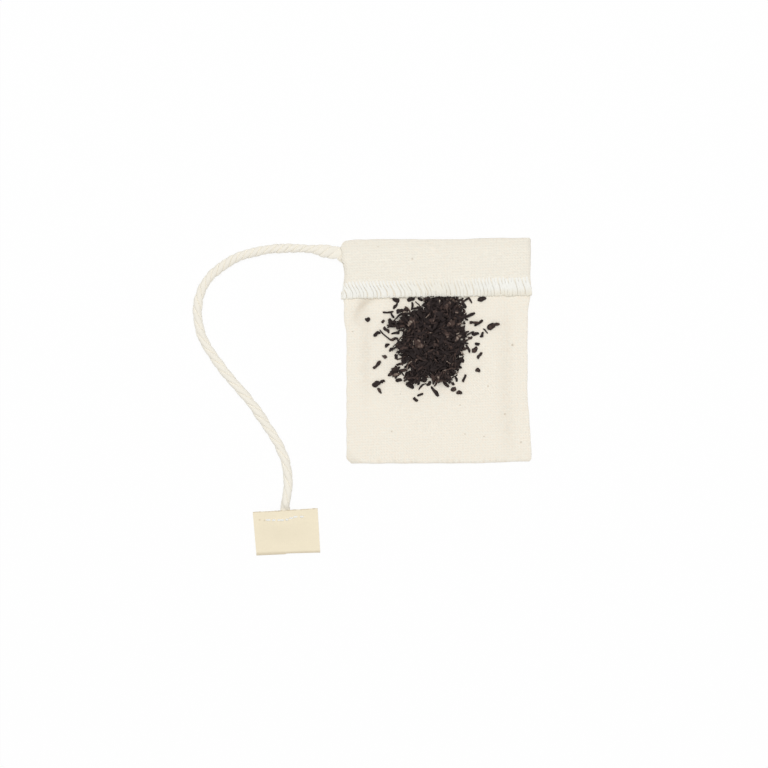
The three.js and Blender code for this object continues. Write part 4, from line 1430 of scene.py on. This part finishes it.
class TeaLeaves:
    """Curled shards of dried leaf, laid on the pile one after another."""

    RINGS = 8
    SIDES = 5
    CORNERS = 4
    # Share of the leaves, ranges of length, width and depth (mm), curl and range of tone for each kind
    KINDS = (
        (0.25, (1.1, 1.9), (0.8, 1.2), (0.5, 0.75), 0.1, (0, 0.66)),
        (0.345, (1.9, 3.4), (0.8, 1.15), (0.45, 0.7), 0.25, (0, 0.72)),
        (0.25, (2.9, 5.0), (0.7, 1.05), (0.4, 0.6), 0.5, (0, 0.78)),
        (0.12, (2.3, 3.6), (1.3, 2), (0.35, 0.5), 0.35, (0.1, 0.8)),
        (0.035, (1.4, 2.8), (0.34, 0.55), (0.3, 0.4), 0.22, (0.7, 0.98)),
    )
    # Ranges and spreads of a leaf's bends, ends and rims, of its painted top light and of its tone
    BOW = 0.5
    BOW_MIDDLE = 0.33
    LIFT_PART = 6
    BLUNT = (0.84, 0.985)
    SHARP = (2, 6)
    ROUGH = 0.2
    SHIFT = 0.13
    TILT = 0.3
    TWIST = 2
    RIDGE = 0.11
    RIDGE_STRAY = 0.07
    # The fine leaf that fills the heap
    BED_SHARE = 0.81
    BED_MIDDLE = 0.02
    BED_RISE = 0.5
    BED_RINGS = 10
    BED_SIDES = 72
    BED_TONE = 0.1
    # How the leaves are strewn over the heap, round its foot and in clumps
    HEAP_ROUND = 0.7
    HEAP_END = 1.02
    HEAP_THIN = 0.24
    FRINGE_FROM = 0.84
    FRINGE_WIDTH = 0.28
    FRINGE_POWER = 1.3
    FRINGE_TOP = 16.5 * MM
    FRINGE_LEFT = -0.2
    FRINGE_RIGHT_SHARE = 0.35
    FRINGE_TURN = 0.6
    CLUMP_TURN = 0.7
    # Leaves that lie by themselves, with a stronger painted top light
    STRAY_TONES = (0.2, 0.5)
    STRAY_DEPTH = 0.9
    THIN_DEPTH = 0.45
    STRAY_CURL = 0.2
    STRAY_RIDGE = 0.3

    def __init__(self, form, tea, draw):
        self.form = form
        self.tea = tea
        self.draw = draw
        self.pile = TeaPile(form)
        self.shape = Shape()
        aside = TEA_FOOT - TEA_MIDDLE
        angles = np.arctan2(aside[:, 1], aside[:, 0])
        order = np.argsort(angles)
        self.foot_angles = angles[order]
        self.foot_reach = np.hypot(aside[:, 0], aside[:, 1])[order]

    def reach(self, angle):
        """How far the heap's foot is from its middle, in a direction."""
        return np.interp(angle, self.foot_angles, self.foot_reach, period=FULL_TURN)

    def spot(self, angle, share):
        """A place in a direction, at a share of the way to the foot."""
        out = np.stack((np.cos(angle), np.sin(angle)), axis=-1)
        return TEA_MIDDLE + out * (share * self.reach(angle))[..., None]

    def heap_height(self, share):
        return self.tea.height * np.clip(1 - share * share, 0, 1) ** self.HEAP_ROUND

    def add_bed(self):
        """Fine broken leaf that fills the heap under its larger leaves."""
        shares = np.linspace(self.BED_SHARE, self.BED_MIDDLE, self.BED_RINGS)
        angle, share = np.meshgrid(round_turns(self.BED_SIDES), shares)
        place = self.spot(angle, share)
        rise = self.BED_RISE * self.heap_height(share / self.BED_SHARE)
        level = self.form.front_top(place[..., 0], place[..., 1]) + rise
        points = np.concatenate((place, level[..., None]), axis=-1).reshape(-1, 3)
        self.shape.add(points, tube_faces(self.BED_RINGS, self.BED_SIDES), self.BED_TONE)
        self.pile.fill(points)

    def lay(self, x, y, size, turn, curl, tone, ridge=RIDGE):
        """Lays one leaf of a length, width and depth, with painted light along its top and painted shade at
        its rims.
        """
        draw = self.draw
        length, width, depth = size
        along = np.linspace(-1, 1, self.RINGS)
        bow = curl * length / 2 * draw.normal(0, self.BOW)
        lift = curl * length / self.LIFT_PART * draw.random()
        ahead = along * length / 2
        aside = bow * (along * along - self.BOW_MIDDLE)
        line = np.stack((
            x + ahead * math.cos(turn) - aside * math.sin(turn),
            y + ahead * math.sin(turn) + aside * math.cos(turn),
            lift * (1 - along * along),
        ), axis=1)
        if not self.pile.settle(line, width / 2, depth / 2):
            return False
        blunt = draw.uniform(*self.BLUNT, 2)
        sharp = draw.uniform(*self.SHARP)
        taper = np.sqrt(1 - np.abs(along * np.where(along < 0, *blunt)) ** sharp)
        rough = taper * (1 + self.uneven(self.ROUGH))
        twist = draw.normal(0, self.TILT) + draw.normal(0, self.TWIST * curl) * along
        shift = self.uneven(self.SHIFT * width)
        shard = self.shard(line, rough * width / 2, rough * depth / 2, twist, shift)
        self.shape.add(*shard, np.clip(tone + self.top_light_and_spread(ridge), 0, 1))
        return True

    def uneven(self, spread):
        """A value for each ring that strays from nought, with a few corners along the leaf."""
        corners = self.draw.normal(0, spread, self.CORNERS)
        return np.interp(np.linspace(0, 1, self.RINGS), np.linspace(0, 1, self.CORNERS), corners)

    def top_light_and_spread(self, ridge):
        """Painted light along a leaf's upper side and painted shade at its rims, with a random spread of tone
        along it.
        """
        uneven = self.draw.normal(0, self.RIDGE_STRAY, self.RINGS)
        return (ridge * np.sin(round_turns(self.SIDES))[None, :] + uneven[:, None]).ravel()

    def shard(self, line, half_width, half_depth, twist, shift):
        turn = round_turns(self.SIDES)
        flat = half_width[:, None] * np.cos(turn) + shift[:, None]
        tall = half_depth[:, None] * np.sin(turn)
        points = round_points(line, line_frame(line, UP), rotated(flat, tall, twist[:, None]))
        return points, tube_faces(self.RINGS, self.SIDES)

    def any_leaf(self, x, y, turn):
        """Lays a leaf of a chance kind and size."""
        draw = self.draw
        kind = self.KINDS[draw.choice(len(self.KINDS), p=[kind[0] for kind in self.KINDS])]
        size = [draw.uniform(*ends) * MM for ends in kind[1:4]]
        self.lay(x, y, size, turn, kind[4], draw.uniform(*kind[5]))

    def add_heap(self):
        draw = self.draw
        for _ in range(self.tea.attempts):
            angle = draw.uniform(-math.pi, math.pi)
            share = math.sqrt(draw.random())
            x, y = self.spot(angle, np.array(share))
            column, row = self.pile.cells(np.array(((x, y, 0.0),)))
            full = self.form.front_top(x, y) + self.heap_height(share)
            crowded = draw.random() < (self.HEAP_END - share) / self.HEAP_THIN
            if crowded and self.pile.height[column[0], row[0]] < full:
                self.any_leaf(x, y, draw.uniform(0, FULL_TURN))

    def add_fringe(self):
        """Leaves that stick out round the foot, most of them on the left."""
        draw = self.draw
        for _ in range(self.tea.fringe):
            angle = draw.uniform(-math.pi, math.pi)
            share = self.FRINGE_FROM + self.FRINGE_WIDTH * draw.random() ** self.FRINGE_POWER
            x, y = self.spot(angle, np.array(share))
            kept = math.cos(angle) < self.FRINGE_LEFT or draw.random() < self.FRINGE_RIGHT_SHARE
            if kept and y < self.FRINGE_TOP:
                self.any_leaf(x, y, angle + draw.normal(0, self.FRINGE_TURN))

    def add_clumps(self):
        """Leaves that lie close together at the foot."""
        draw = self.draw
        for x, y, half_width, half_height, count in TEA_CLUMPS:
            for _ in range(count):
                angle = draw.uniform(0, FULL_TURN)
                share = math.sqrt(draw.random())
                across = (x + half_width * share * math.cos(angle)) * MM
                up = (y + half_height * share * math.sin(angle)) * MM
                outward = math.atan2(up - TEA_MIDDLE[1], across - TEA_MIDDLE[0])
                self.any_leaf(across, up, outward + draw.normal(0, self.CLUMP_TURN))

    def add_strays(self):
        """Leaves that lie by themselves, thinner where the flap leaves little room."""
        for x, y, length, width, turn in STRAY_LEAVES:
            tone = self.draw.uniform(*self.STRAY_TONES)
            for depth in (min(width, self.STRAY_DEPTH), self.THIN_DEPTH):
                size = np.array((length, width, depth)) * MM
                turned = math.radians(turn)
                if self.lay(x * MM, y * MM, size, turned, self.STRAY_CURL, tone, self.STRAY_RIDGE):
                    break


class TEABAG_OT_tea(bpy.types.Operator):
    """Heaps loose tea on the front panel"""

    bl_idname = "tea_bag.tea"
    bl_label = "Loose Tea"

    SEED = 33

    def execute(self, context):
        tea = context.scene.tea_bag_tea
        form = PouchForm(context.scene.tea_bag_pouch)
        leaves = TeaLeaves(form, tea, np.random.default_rng(self.SEED))
        leaves.add_bed()
        leaves.add_strays()
        leaves.add_fringe()
        leaves.add_heap()
        leaves.add_clumps()
        piece = leaves.shape.make("tea_leaves", TeaFinish("black_tea").make(tea))
        seat(piece, "loose_tea")
        return {"FINISHED"}


# Cord


class TwistedCord:
    """Three soft strands laid round the cord's middle line."""

    SAMPLES = 560
    STRANDS = 3
    SIDES = 26
    STRAND_RADIUS = 0.5
    STRAND_WIDTH = 0.66
    FULLNESS = 0.97  # of the plain round cord
    SEAM_RELAX = 11 * MM
    SEAM_WIDE = (7 * MM, 13 * MM)
    SEAM_SAG = 0.5 * MM
    TAG_RELAX = 3 * MM
    NECK = 14.5 * MM
    NECK_HALF = 3.5 * MM
    NECK_LOSS = 0.12
    # The twist: where it slackens, how much longer it is by the seam, and where it starts
    SLACKENS = (45 * MM, 95 * MM)
    SEAM_LAY = 4 * MM
    SEAM_LAY_ENDS = 12 * MM
    START_TURN = 0.4
    # Unevenness of the cord and its strands, and the yarns that show on them
    UNEVEN = 0.025
    UNEVEN_RIPPLE = (6 * MM, 8)
    LUMP = 0.075
    LUMP_SIZE = 4 * MM
    LUMP_SEED = 40
    YARNS = 7
    YARN_DEPTH = 0.02
    YARN_TURN = 22 * MM
    # Where a strand's sides darken with painted shade into the grooves, and how much that changes along it
    GROOVE = (-0.4, 0.35)
    GROOVE_DEPTH = 0.65
    GROOVE_SPREAD = 0.45
    GROOVE_SIZE = 3 * MM
    GROOVE_SEED = 50
    # Loose fibres
    HAIR_SAMPLES = 40
    HAIR_POINTS = 6
    HAIR_SIDES = 3
    HAIR_LENGTH = (0.8, 2.4)
    HAIR_BEND = (-0.5, 0.7)
    HAIR_DROOP = 0.6
    HAIR_ROOT = 0.92
    HAIR_LIFT = 0.4
    HAIR_TILT = 0.3
    HAIR_BELOW = 0.1
    HAIR_HALF = 0.016 * MM
    HAIR_TIP = 0.5

    def __init__(self, cord, tag):
        self.cord = cord
        self.line = smooth_curve(self.route(tag), self.SAMPLES)
        self.places = line_places(self.line)
        self.outside = self.places - CORD_TUCK
        self.line[:, 1] -= self.SEAM_SAG * self.seam(self.SEAM_RELAX)
        self.length = self.places[-1]
        self.side, self.rise = line_frame(self.line, UP)
        self.half_width, self.half_height = self.half_sizes()

    def route(self, tag):
        level = np.full(len(CORD_ROUTE), self.cord.diameter / 2)
        level[0] = CORD_SEWN_LEVEL
        level[-1] = CORD_TAG_LEVEL
        run = np.column_stack((CORD_EXIT + CORD_ROUTE, level))
        sewn = (CORD_EXIT[0] + CORD_TUCK, CORD_EXIT[1], CORD_SEWN_LEVEL)
        down = CORD_TUCK * np.array((math.sin(tag.turn), -math.cos(tag.turn)))
        end = (*(TAG_TOP + down), CORD_TAG_LEVEL)
        return np.vstack((sewn, run, end))

    def seam(self, length):
        """1 at the side seam and in it, falling to 0 at a length outside it."""
        return 1 - smooth(self.outside / length)

    def half_sizes(self):
        """Half the cord's width and height along its line."""
        cord = self.cord
        end = smooth((self.places - (self.length - CORD_TUCK - self.TAG_RELAX)) / self.TAG_RELAX)
        neck = 1 - self.NECK_LOSS * hump(self.outside, self.NECK, self.NECK_HALF)
        uneven = 1 + self.UNEVEN * ripple(self.places, 0.0, *self.UNEVEN_RIPPLE)
        plain = cord.diameter * self.FULLNESS * neck * uneven
        wide = 1 - between(self.outside, self.SEAM_WIDE)
        width = mix(mix(plain, cord.sewn_width, wide), cord.tag_width, end)
        height = mix(mix(plain, cord.sewn_height, self.seam(self.SEAM_RELAX)), cord.tag_height, end)
        return width / 2, height / 2

    def twist(self):
        lay = mix(self.cord.lay, self.cord.slack_lay, between(self.places, self.SLACKENS))
        lay = lay + self.SEAM_LAY * self.seam(self.SEAM_LAY_ENDS)
        turns = np.concatenate(((0.0,), np.cumsum(np.diff(self.places) / lay[1:])))
        return -FULL_TURN * turns

    def strand(self, number):
        phase = self.twist() + FULL_TURN * number / self.STRANDS + self.START_TURN
        turn = round_turns(self.SIDES)
        wander = FULL_TURN * self.places / self.YARN_TURN
        yarn = 1 + self.YARN_DEPTH * np.cos(self.YARNS * turn[None, :] + wander[:, None] + number)
        lumps = 1 + self.LUMP * ripple(self.places, 0.0, self.LUMP_SIZE, self.LUMP_SEED + number)[:, None]
        outward = self.STRAND_RADIUS * (1 + np.cos(turn) * yarn) * lumps
        sideways = self.STRAND_WIDTH * np.sin(turn) * yarn * lumps
        across, over = rotated(outward, sideways, phase[:, None])
        offsets = (across * self.half_width[:, None], over * self.half_height[:, None])
        points = round_points(self.line, (self.side, self.rise), offsets)
        return points, tube_faces(self.SAMPLES, self.SIDES), self.strand_tones(turn, number)

    def strand_tones(self, turn, number):
        """Full tone on a strand's outer side, and painted shade in the grooves beside it."""
        groove = 1 - between(np.cos(turn), self.GROOVE)
        shade_spread = ripple(self.places, 0.0, self.GROOVE_SIZE, self.GROOVE_SEED + number)
        depth = np.clip(self.GROOVE_DEPTH + self.GROOVE_SPREAD * shade_spread, 0, 1)
        return 1 - np.outer(depth, groove).ravel()

    def hair(self, draw):
        """A fine loose fibre that stands a little off the cord."""
        at = draw.integers(self.HAIR_SAMPLES, self.SAMPLES - self.HAIR_SAMPLES)
        turn = draw.uniform(-self.HAIR_BELOW, math.pi + self.HAIR_BELOW)
        out = self.side[at] * math.cos(turn) + self.rise[at] * math.sin(turn)
        along = np.cross(self.side[at], self.rise[at]) * draw.choice((-1, 1))
        ahead = unit(along + self.HAIR_LIFT * out)
        reach = self.half_width[at] * abs(math.cos(turn)) + self.half_height[at] * abs(math.sin(turn))
        start = self.line[at] + out * self.HAIR_ROOT * reach
        share = np.linspace(0, 1, self.HAIR_POINTS)[:, None]
        size = draw.uniform(*self.HAIR_LENGTH) * MM
        bend = draw.uniform(*self.HAIR_BEND)
        line = start + ahead * size * share + out * size * bend * share * (1 - self.HAIR_DROOP * share)
        thin = np.linspace(1, self.HAIR_TIP, self.HAIR_POINTS) * self.HAIR_HALF
        return tube(line, thin, thin, self.HAIR_SIDES, unit(out + self.HAIR_TILT * ahead))


class TEABAG_OT_cord(bpy.types.Operator):
    """Lays the twisted cord from the side seam to the tag"""

    bl_idname = "tea_bag.cord"
    bl_label = "Twisted Cord"

    SEED = 5

    def execute(self, context):
        cord = context.scene.tea_bag_cord
        twisted = TwistedCord(cord, context.scene.tea_bag_tag)
        shape = Shape()
        for number in range(twisted.STRANDS):
            shape.add(*twisted.strand(number))
        draw = np.random.default_rng(self.SEED)
        for _ in range(cord.hairs):
            shape.add(*twisted.hair(draw))
        finish = CottonFinish("cotton_cord").make(cord.tint, cord.groove_shade_tint)
        piece = shape.make("twisted_cord", finish)
        seat(piece, "cord")
        return {"FINISHED"}


# Tag


class TagForm:
    """The folded tape in its own frame: its cut edges on the X axis and its fold at -Y."""

    LEAF_GAP = 0.3 * MM
    CORD_GAP = 1.8 * MM
    CORD_HALF = 3.1 * MM
    CORD_REACH = 5.4 * MM
    SLOPE = 8.5 * MM
    TAPER = 0.45 * MM
    WAVE = 0.05 * MM
    WAVE_RIPPLE = (6 * MM, 17)
    RAGGED = 0.12 * MM
    RAGGED_RIPPLE = (1.2 * MM, 3)
    UPPER_SHORT = 0.2 * MM
    LOWER_SHORT = 0.4 * MM
    FOLD = 0.6 * MM
    FOLD_BOW = 0.1 * MM
    FOLD_STEP = 0.3 * MM
    STEP_ENDS = (-1.6 * MM, -0.4 * MM)
    COLUMNS = 70
    LEAF_ROWS = 46
    FOLD_ROWS = 8

    def __init__(self, tag):
        self.tag = tag

    def top(self, x, y):
        """Upper surface of the upper leaf, lifted by the cord's end."""
        across = 1 - smooth((np.abs(x) - self.CORD_HALF) / self.SLOPE)
        along = 1 - smooth((-y - self.CORD_REACH) / self.SLOPE)
        gap = mix(self.LEAF_GAP, self.CORD_GAP, across * along)
        return 2 * self.tag.tape + gap + self.WAVE * ripple(x, y, *self.WAVE_RIPPLE)

    def turned(self, points):
        """Points of the tag's own frame, put in their place."""
        x, y = rotated(points[..., 0], points[..., 1], self.tag.turn)
        return np.stack((TAG_TOP[0] + x, TAG_TOP[1] + y, points[..., 2]), axis=-1)

    def tapered(self, x, share):
        """Draws the tape's left side in towards the fold."""
        return x + self.TAPER * share * (0.5 - x / self.tag.width)

    def fold_line(self, x):
        """How far the fold strays up from a level line."""
        bow = self.FOLD_BOW * np.cos(math.pi * x / self.tag.width)
        tilt = TAG_FOLD_TILT * (0.5 + x / self.tag.width)
        return bow - tilt - self.FOLD_STEP * (1 - between(x, self.STEP_ENDS))

    def grid(self):
        tag = self.tag
        half = tag.tape / 2
        x = np.linspace(-tag.width / 2, tag.width / 2, self.COLUMNS)
        ragged = self.RAGGED * ripple(x, 0.0, *self.RAGGED_RIPPLE)
        bow = self.fold_line(x)
        foot = -tag.length + self.FOLD
        rows = []
        for share in np.linspace(0, 1, self.LEAF_ROWS):
            y = mix(ragged - self.UPPER_SHORT, foot + bow * share, share)
            rows.append(np.stack((self.tapered(x, share), y, self.top(x, y) - half), axis=-1))
        high = rows[-1][:, 2]
        for turn in np.linspace(0, math.pi, self.FOLD_ROWS)[1:-1]:
            y = bow + foot - self.FOLD * math.sin(turn)
            level = mix(half, high, fold_share(turn))
            rows.append(np.stack((self.tapered(x, 1.0), y, level), axis=-1))
        for share in np.linspace(1, 0, self.LEAF_ROWS):
            y = mix(-ragged - self.LOWER_SHORT, foot + bow * share, share)
            rows.append(np.stack((self.tapered(x, share), y, np.full_like(x, half)), axis=-1))
        return self.turned(np.stack(rows))


class TEABAG_OT_tag(bpy.types.Operator):
    """Folds the tape tag over the cord's end"""

    bl_idname = "tea_bag.tag"
    bl_label = "Tape Tag"

    def execute(self, context):
        tag = context.scene.tea_bag_tag
        shape = Shape()
        shape.add(*thick_sheet(TagForm(tag).grid(), tag.tape))
        piece = shape.make("tape_tag", TapeFinish("cotton_tape").make(tag))
        seat(piece, "tag")
        return {"FINISHED"}


class TEABAG_OT_tag_stitches(bpy.types.Operator):
    """Sews the tag's leaves together below their cut edges"""

    bl_idname = "tea_bag.tag_stitches"
    bl_label = "Tag Stitches"

    SEED = 14
    POINTS = 11
    SIDES = 8
    # Shares of the thread: how high a stitch stands, how deep its ends sink, and its half sizes
    ARCH = 1.3
    ARCH_POWER = 4
    SINK = 0.8
    END_SIZE = 0.5
    ACROSS = 1.1
    OVER = 0.7
    UNEVEN = 0.12

    def execute(self, context):
        tag = context.scene.tea_bag_tag
        form = TagForm(tag)
        shape = Shape()
        draw = np.random.default_rng(self.SEED)
        share = np.linspace(0, 1, self.POINTS)
        arch = np.sqrt(1 - (2 * share - 1) ** self.ARCH_POWER)
        for start, end, start_down, end_down in TAG_STITCHES:
            x = mix(start, end, share) * MM
            y = -mix(start_down, end_down, share) * MM
            z = form.top(x, y) + tag.thread * (self.ARCH * arch - self.SINK)
            line = form.turned(np.stack((x, y, z), axis=-1))
            thick = tag.thread * mix(self.END_SIZE, 1, arch) * draw.normal(1, self.UNEVEN, self.POINTS)
            shape.add(*tube(line, self.ACROSS * thick, self.OVER * thick, self.SIDES))
        finish = CottonFinish("sewing_thread").make(tag.stitch_tint, tag.tint)
        seat(shape.make("tag_stitches", finish), "tag_stitching")
        return {"FINISHED"}


# Stage


class FloorFinish(Finish):
    """A pale floor, mostly plain white where it is seen."""

    PALE = (0.95, 0.95, 0.95, 1)

    def make(self, stage):
        plain = self.node("ShaderNodeBsdfDiffuse", {}, {"Color": self.PALE})
        glow = self.node("ShaderNodeEmission", {}, {"Color": WHITE, "Strength": 1.0})
        share = self.seen_directly() * stage.floor_glow
        mixed = self.node("ShaderNodeMixShader", {}, {0: share, 1: plain, 2: glow})
        self.node("ShaderNodeOutputMaterial", {}, {"Surface": mixed})
        return self.material


class WorldFinish(Finish):
    """Even light from all round, in a world that is plain white where it is seen."""

    def __init__(self, world):
        self.start(world)

    def make(self, stage):
        light = self.node("ShaderNodeBackground", {}, {"Color": WHITE, "Strength": stage.world_light})
        white = self.node("ShaderNodeBackground", {}, {"Color": WHITE, "Strength": 1.0})
        mixed = self.node("ShaderNodeMixShader", {}, {0: self.seen_directly(), 1: light, 2: white})
        self.node("ShaderNodeOutputWorld", {}, {"Surface": mixed})


class TEABAG_OT_stage(bpy.types.Operator):
    """Sets up the camera, the pale floor and the soft light"""

    bl_idname = "tea_bag.stage"
    bl_label = "Stage"

    AIM = np.array((-21.3, -13.3, 2)) * MM
    SENSOR = 36.0
    CLIP_START = 0.01
    FLOOR_HALF = 4.0
    FLOOR_LEVEL = -0.2 * MM
    KEY_PLACE = (0.0, 0.2, 1.6)
    KEY_SIZE = 1.2

    def execute(self, context):
        scene = context.scene
        stage = scene.tea_bag_stage
        scene.view_settings.view_transform = "Standard"
        self.add_camera(scene, stage)
        self.add_floor(stage)
        self.add_key(stage)
        scene.world = bpy.data.worlds.new("studio")
        WorldFinish(scene.world).make(stage)
        return {"FINISHED"}

    def add_camera(self, scene, stage):
        camera = bpy.data.cameras.new("camera")
        camera.lens = stage.lens
        camera.sensor_width = self.SENSOR
        camera.clip_start = self.CLIP_START
        viewer = bpy.data.objects.new("camera", camera)
        viewer.location = self.AIM + UP * stage.view_width * stage.lens / self.SENSOR
        scene.collection.objects.link(viewer)
        scene.camera = viewer

    def add_floor(self, stage):
        mesh = bpy.data.meshes.new("floor")
        half = self.FLOOR_HALF
        corners = ((-half, -half), (half, -half), (half, half), (-half, half))
        mesh.from_pydata([(x, y, self.FLOOR_LEVEL) for x, y in corners], [], [(0, 1, 2, 3)])
        mesh.materials.append(FloorFinish("pale_floor").make(stage))
        floor = bpy.data.objects.new("floor", mesh)
        bpy.context.collection.objects.link(floor)

    def add_key(self, stage):
        light = bpy.data.lights.new("soft_key", "AREA")
        light.energy = stage.key_power
        light.size = self.KEY_SIZE
        key = bpy.data.objects.new("soft_key", light)
        key.location = self.KEY_PLACE
        key.rotation_euler = (-math.atan2(self.KEY_PLACE[1], self.KEY_PLACE[2]), 0, 0)
        key.visible_camera = False
        bpy.context.collection.objects.link(key)


# Panel and registration

GROUPS = {
    "tea_bag_pouch": TeaBagPouch,
    "tea_bag_overlock": TeaBagOverlock,
    "tea_bag_tea": TeaBagTea,
    "tea_bag_cord": TeaBagCord,
    "tea_bag_tag": TeaBagTag,
    "tea_bag_stage": TeaBagStage,
}
OPERATORS = (
    TEABAG_OT_stage,
    TEABAG_OT_tag,
    TEABAG_OT_tag_stitches,
    TEABAG_OT_cord,
    TEABAG_OT_pouch,
    TEABAG_OT_overlock,
    TEABAG_OT_tea,
)


class TEABAG_PT_sidebar(bpy.types.Panel):
    """Lists the pieces and their settings"""

    bl_idname = "TEABAG_PT_sidebar"
    bl_label = "Tea Bag"
    bl_space_type = "VIEW_3D"
    bl_region_type = "UI"
    bl_category = "Tea Bag"

    def draw(self, context):
        for operator in OPERATORS:
            self.layout.operator(operator.bl_idname)
        for group in GROUPS:
            settings = getattr(context.scene, group)
            column = self.layout.column()
            for name in settings.bl_rna.properties.keys():
                if name not in ("rna_type", "name"):
                    column.prop(settings, name)


def register():
    for kind in (*GROUPS.values(), *OPERATORS, TEABAG_PT_sidebar):
        bpy.utils.register_class(kind)
    for name, group in GROUPS.items():
        setattr(bpy.types.Scene, name, PointerProperty(type=group))


def unregister():
    for name in GROUPS:
        delattr(bpy.types.Scene, name)
    for kind in reversed((*GROUPS.values(), *OPERATORS, TEABAG_PT_sidebar)):
        bpy.utils.unregister_class(kind)


def main():
    register()
    bpy.ops.tea_bag.stage()
    bpy.ops.tea_bag.tag()
    bpy.ops.tea_bag.tag_stitches()
    bpy.ops.tea_bag.cord()
    bpy.ops.tea_bag.pouch()
    bpy.ops.tea_bag.overlock()
    bpy.ops.tea_bag.tea()


if __name__ == "__main__":
    main()
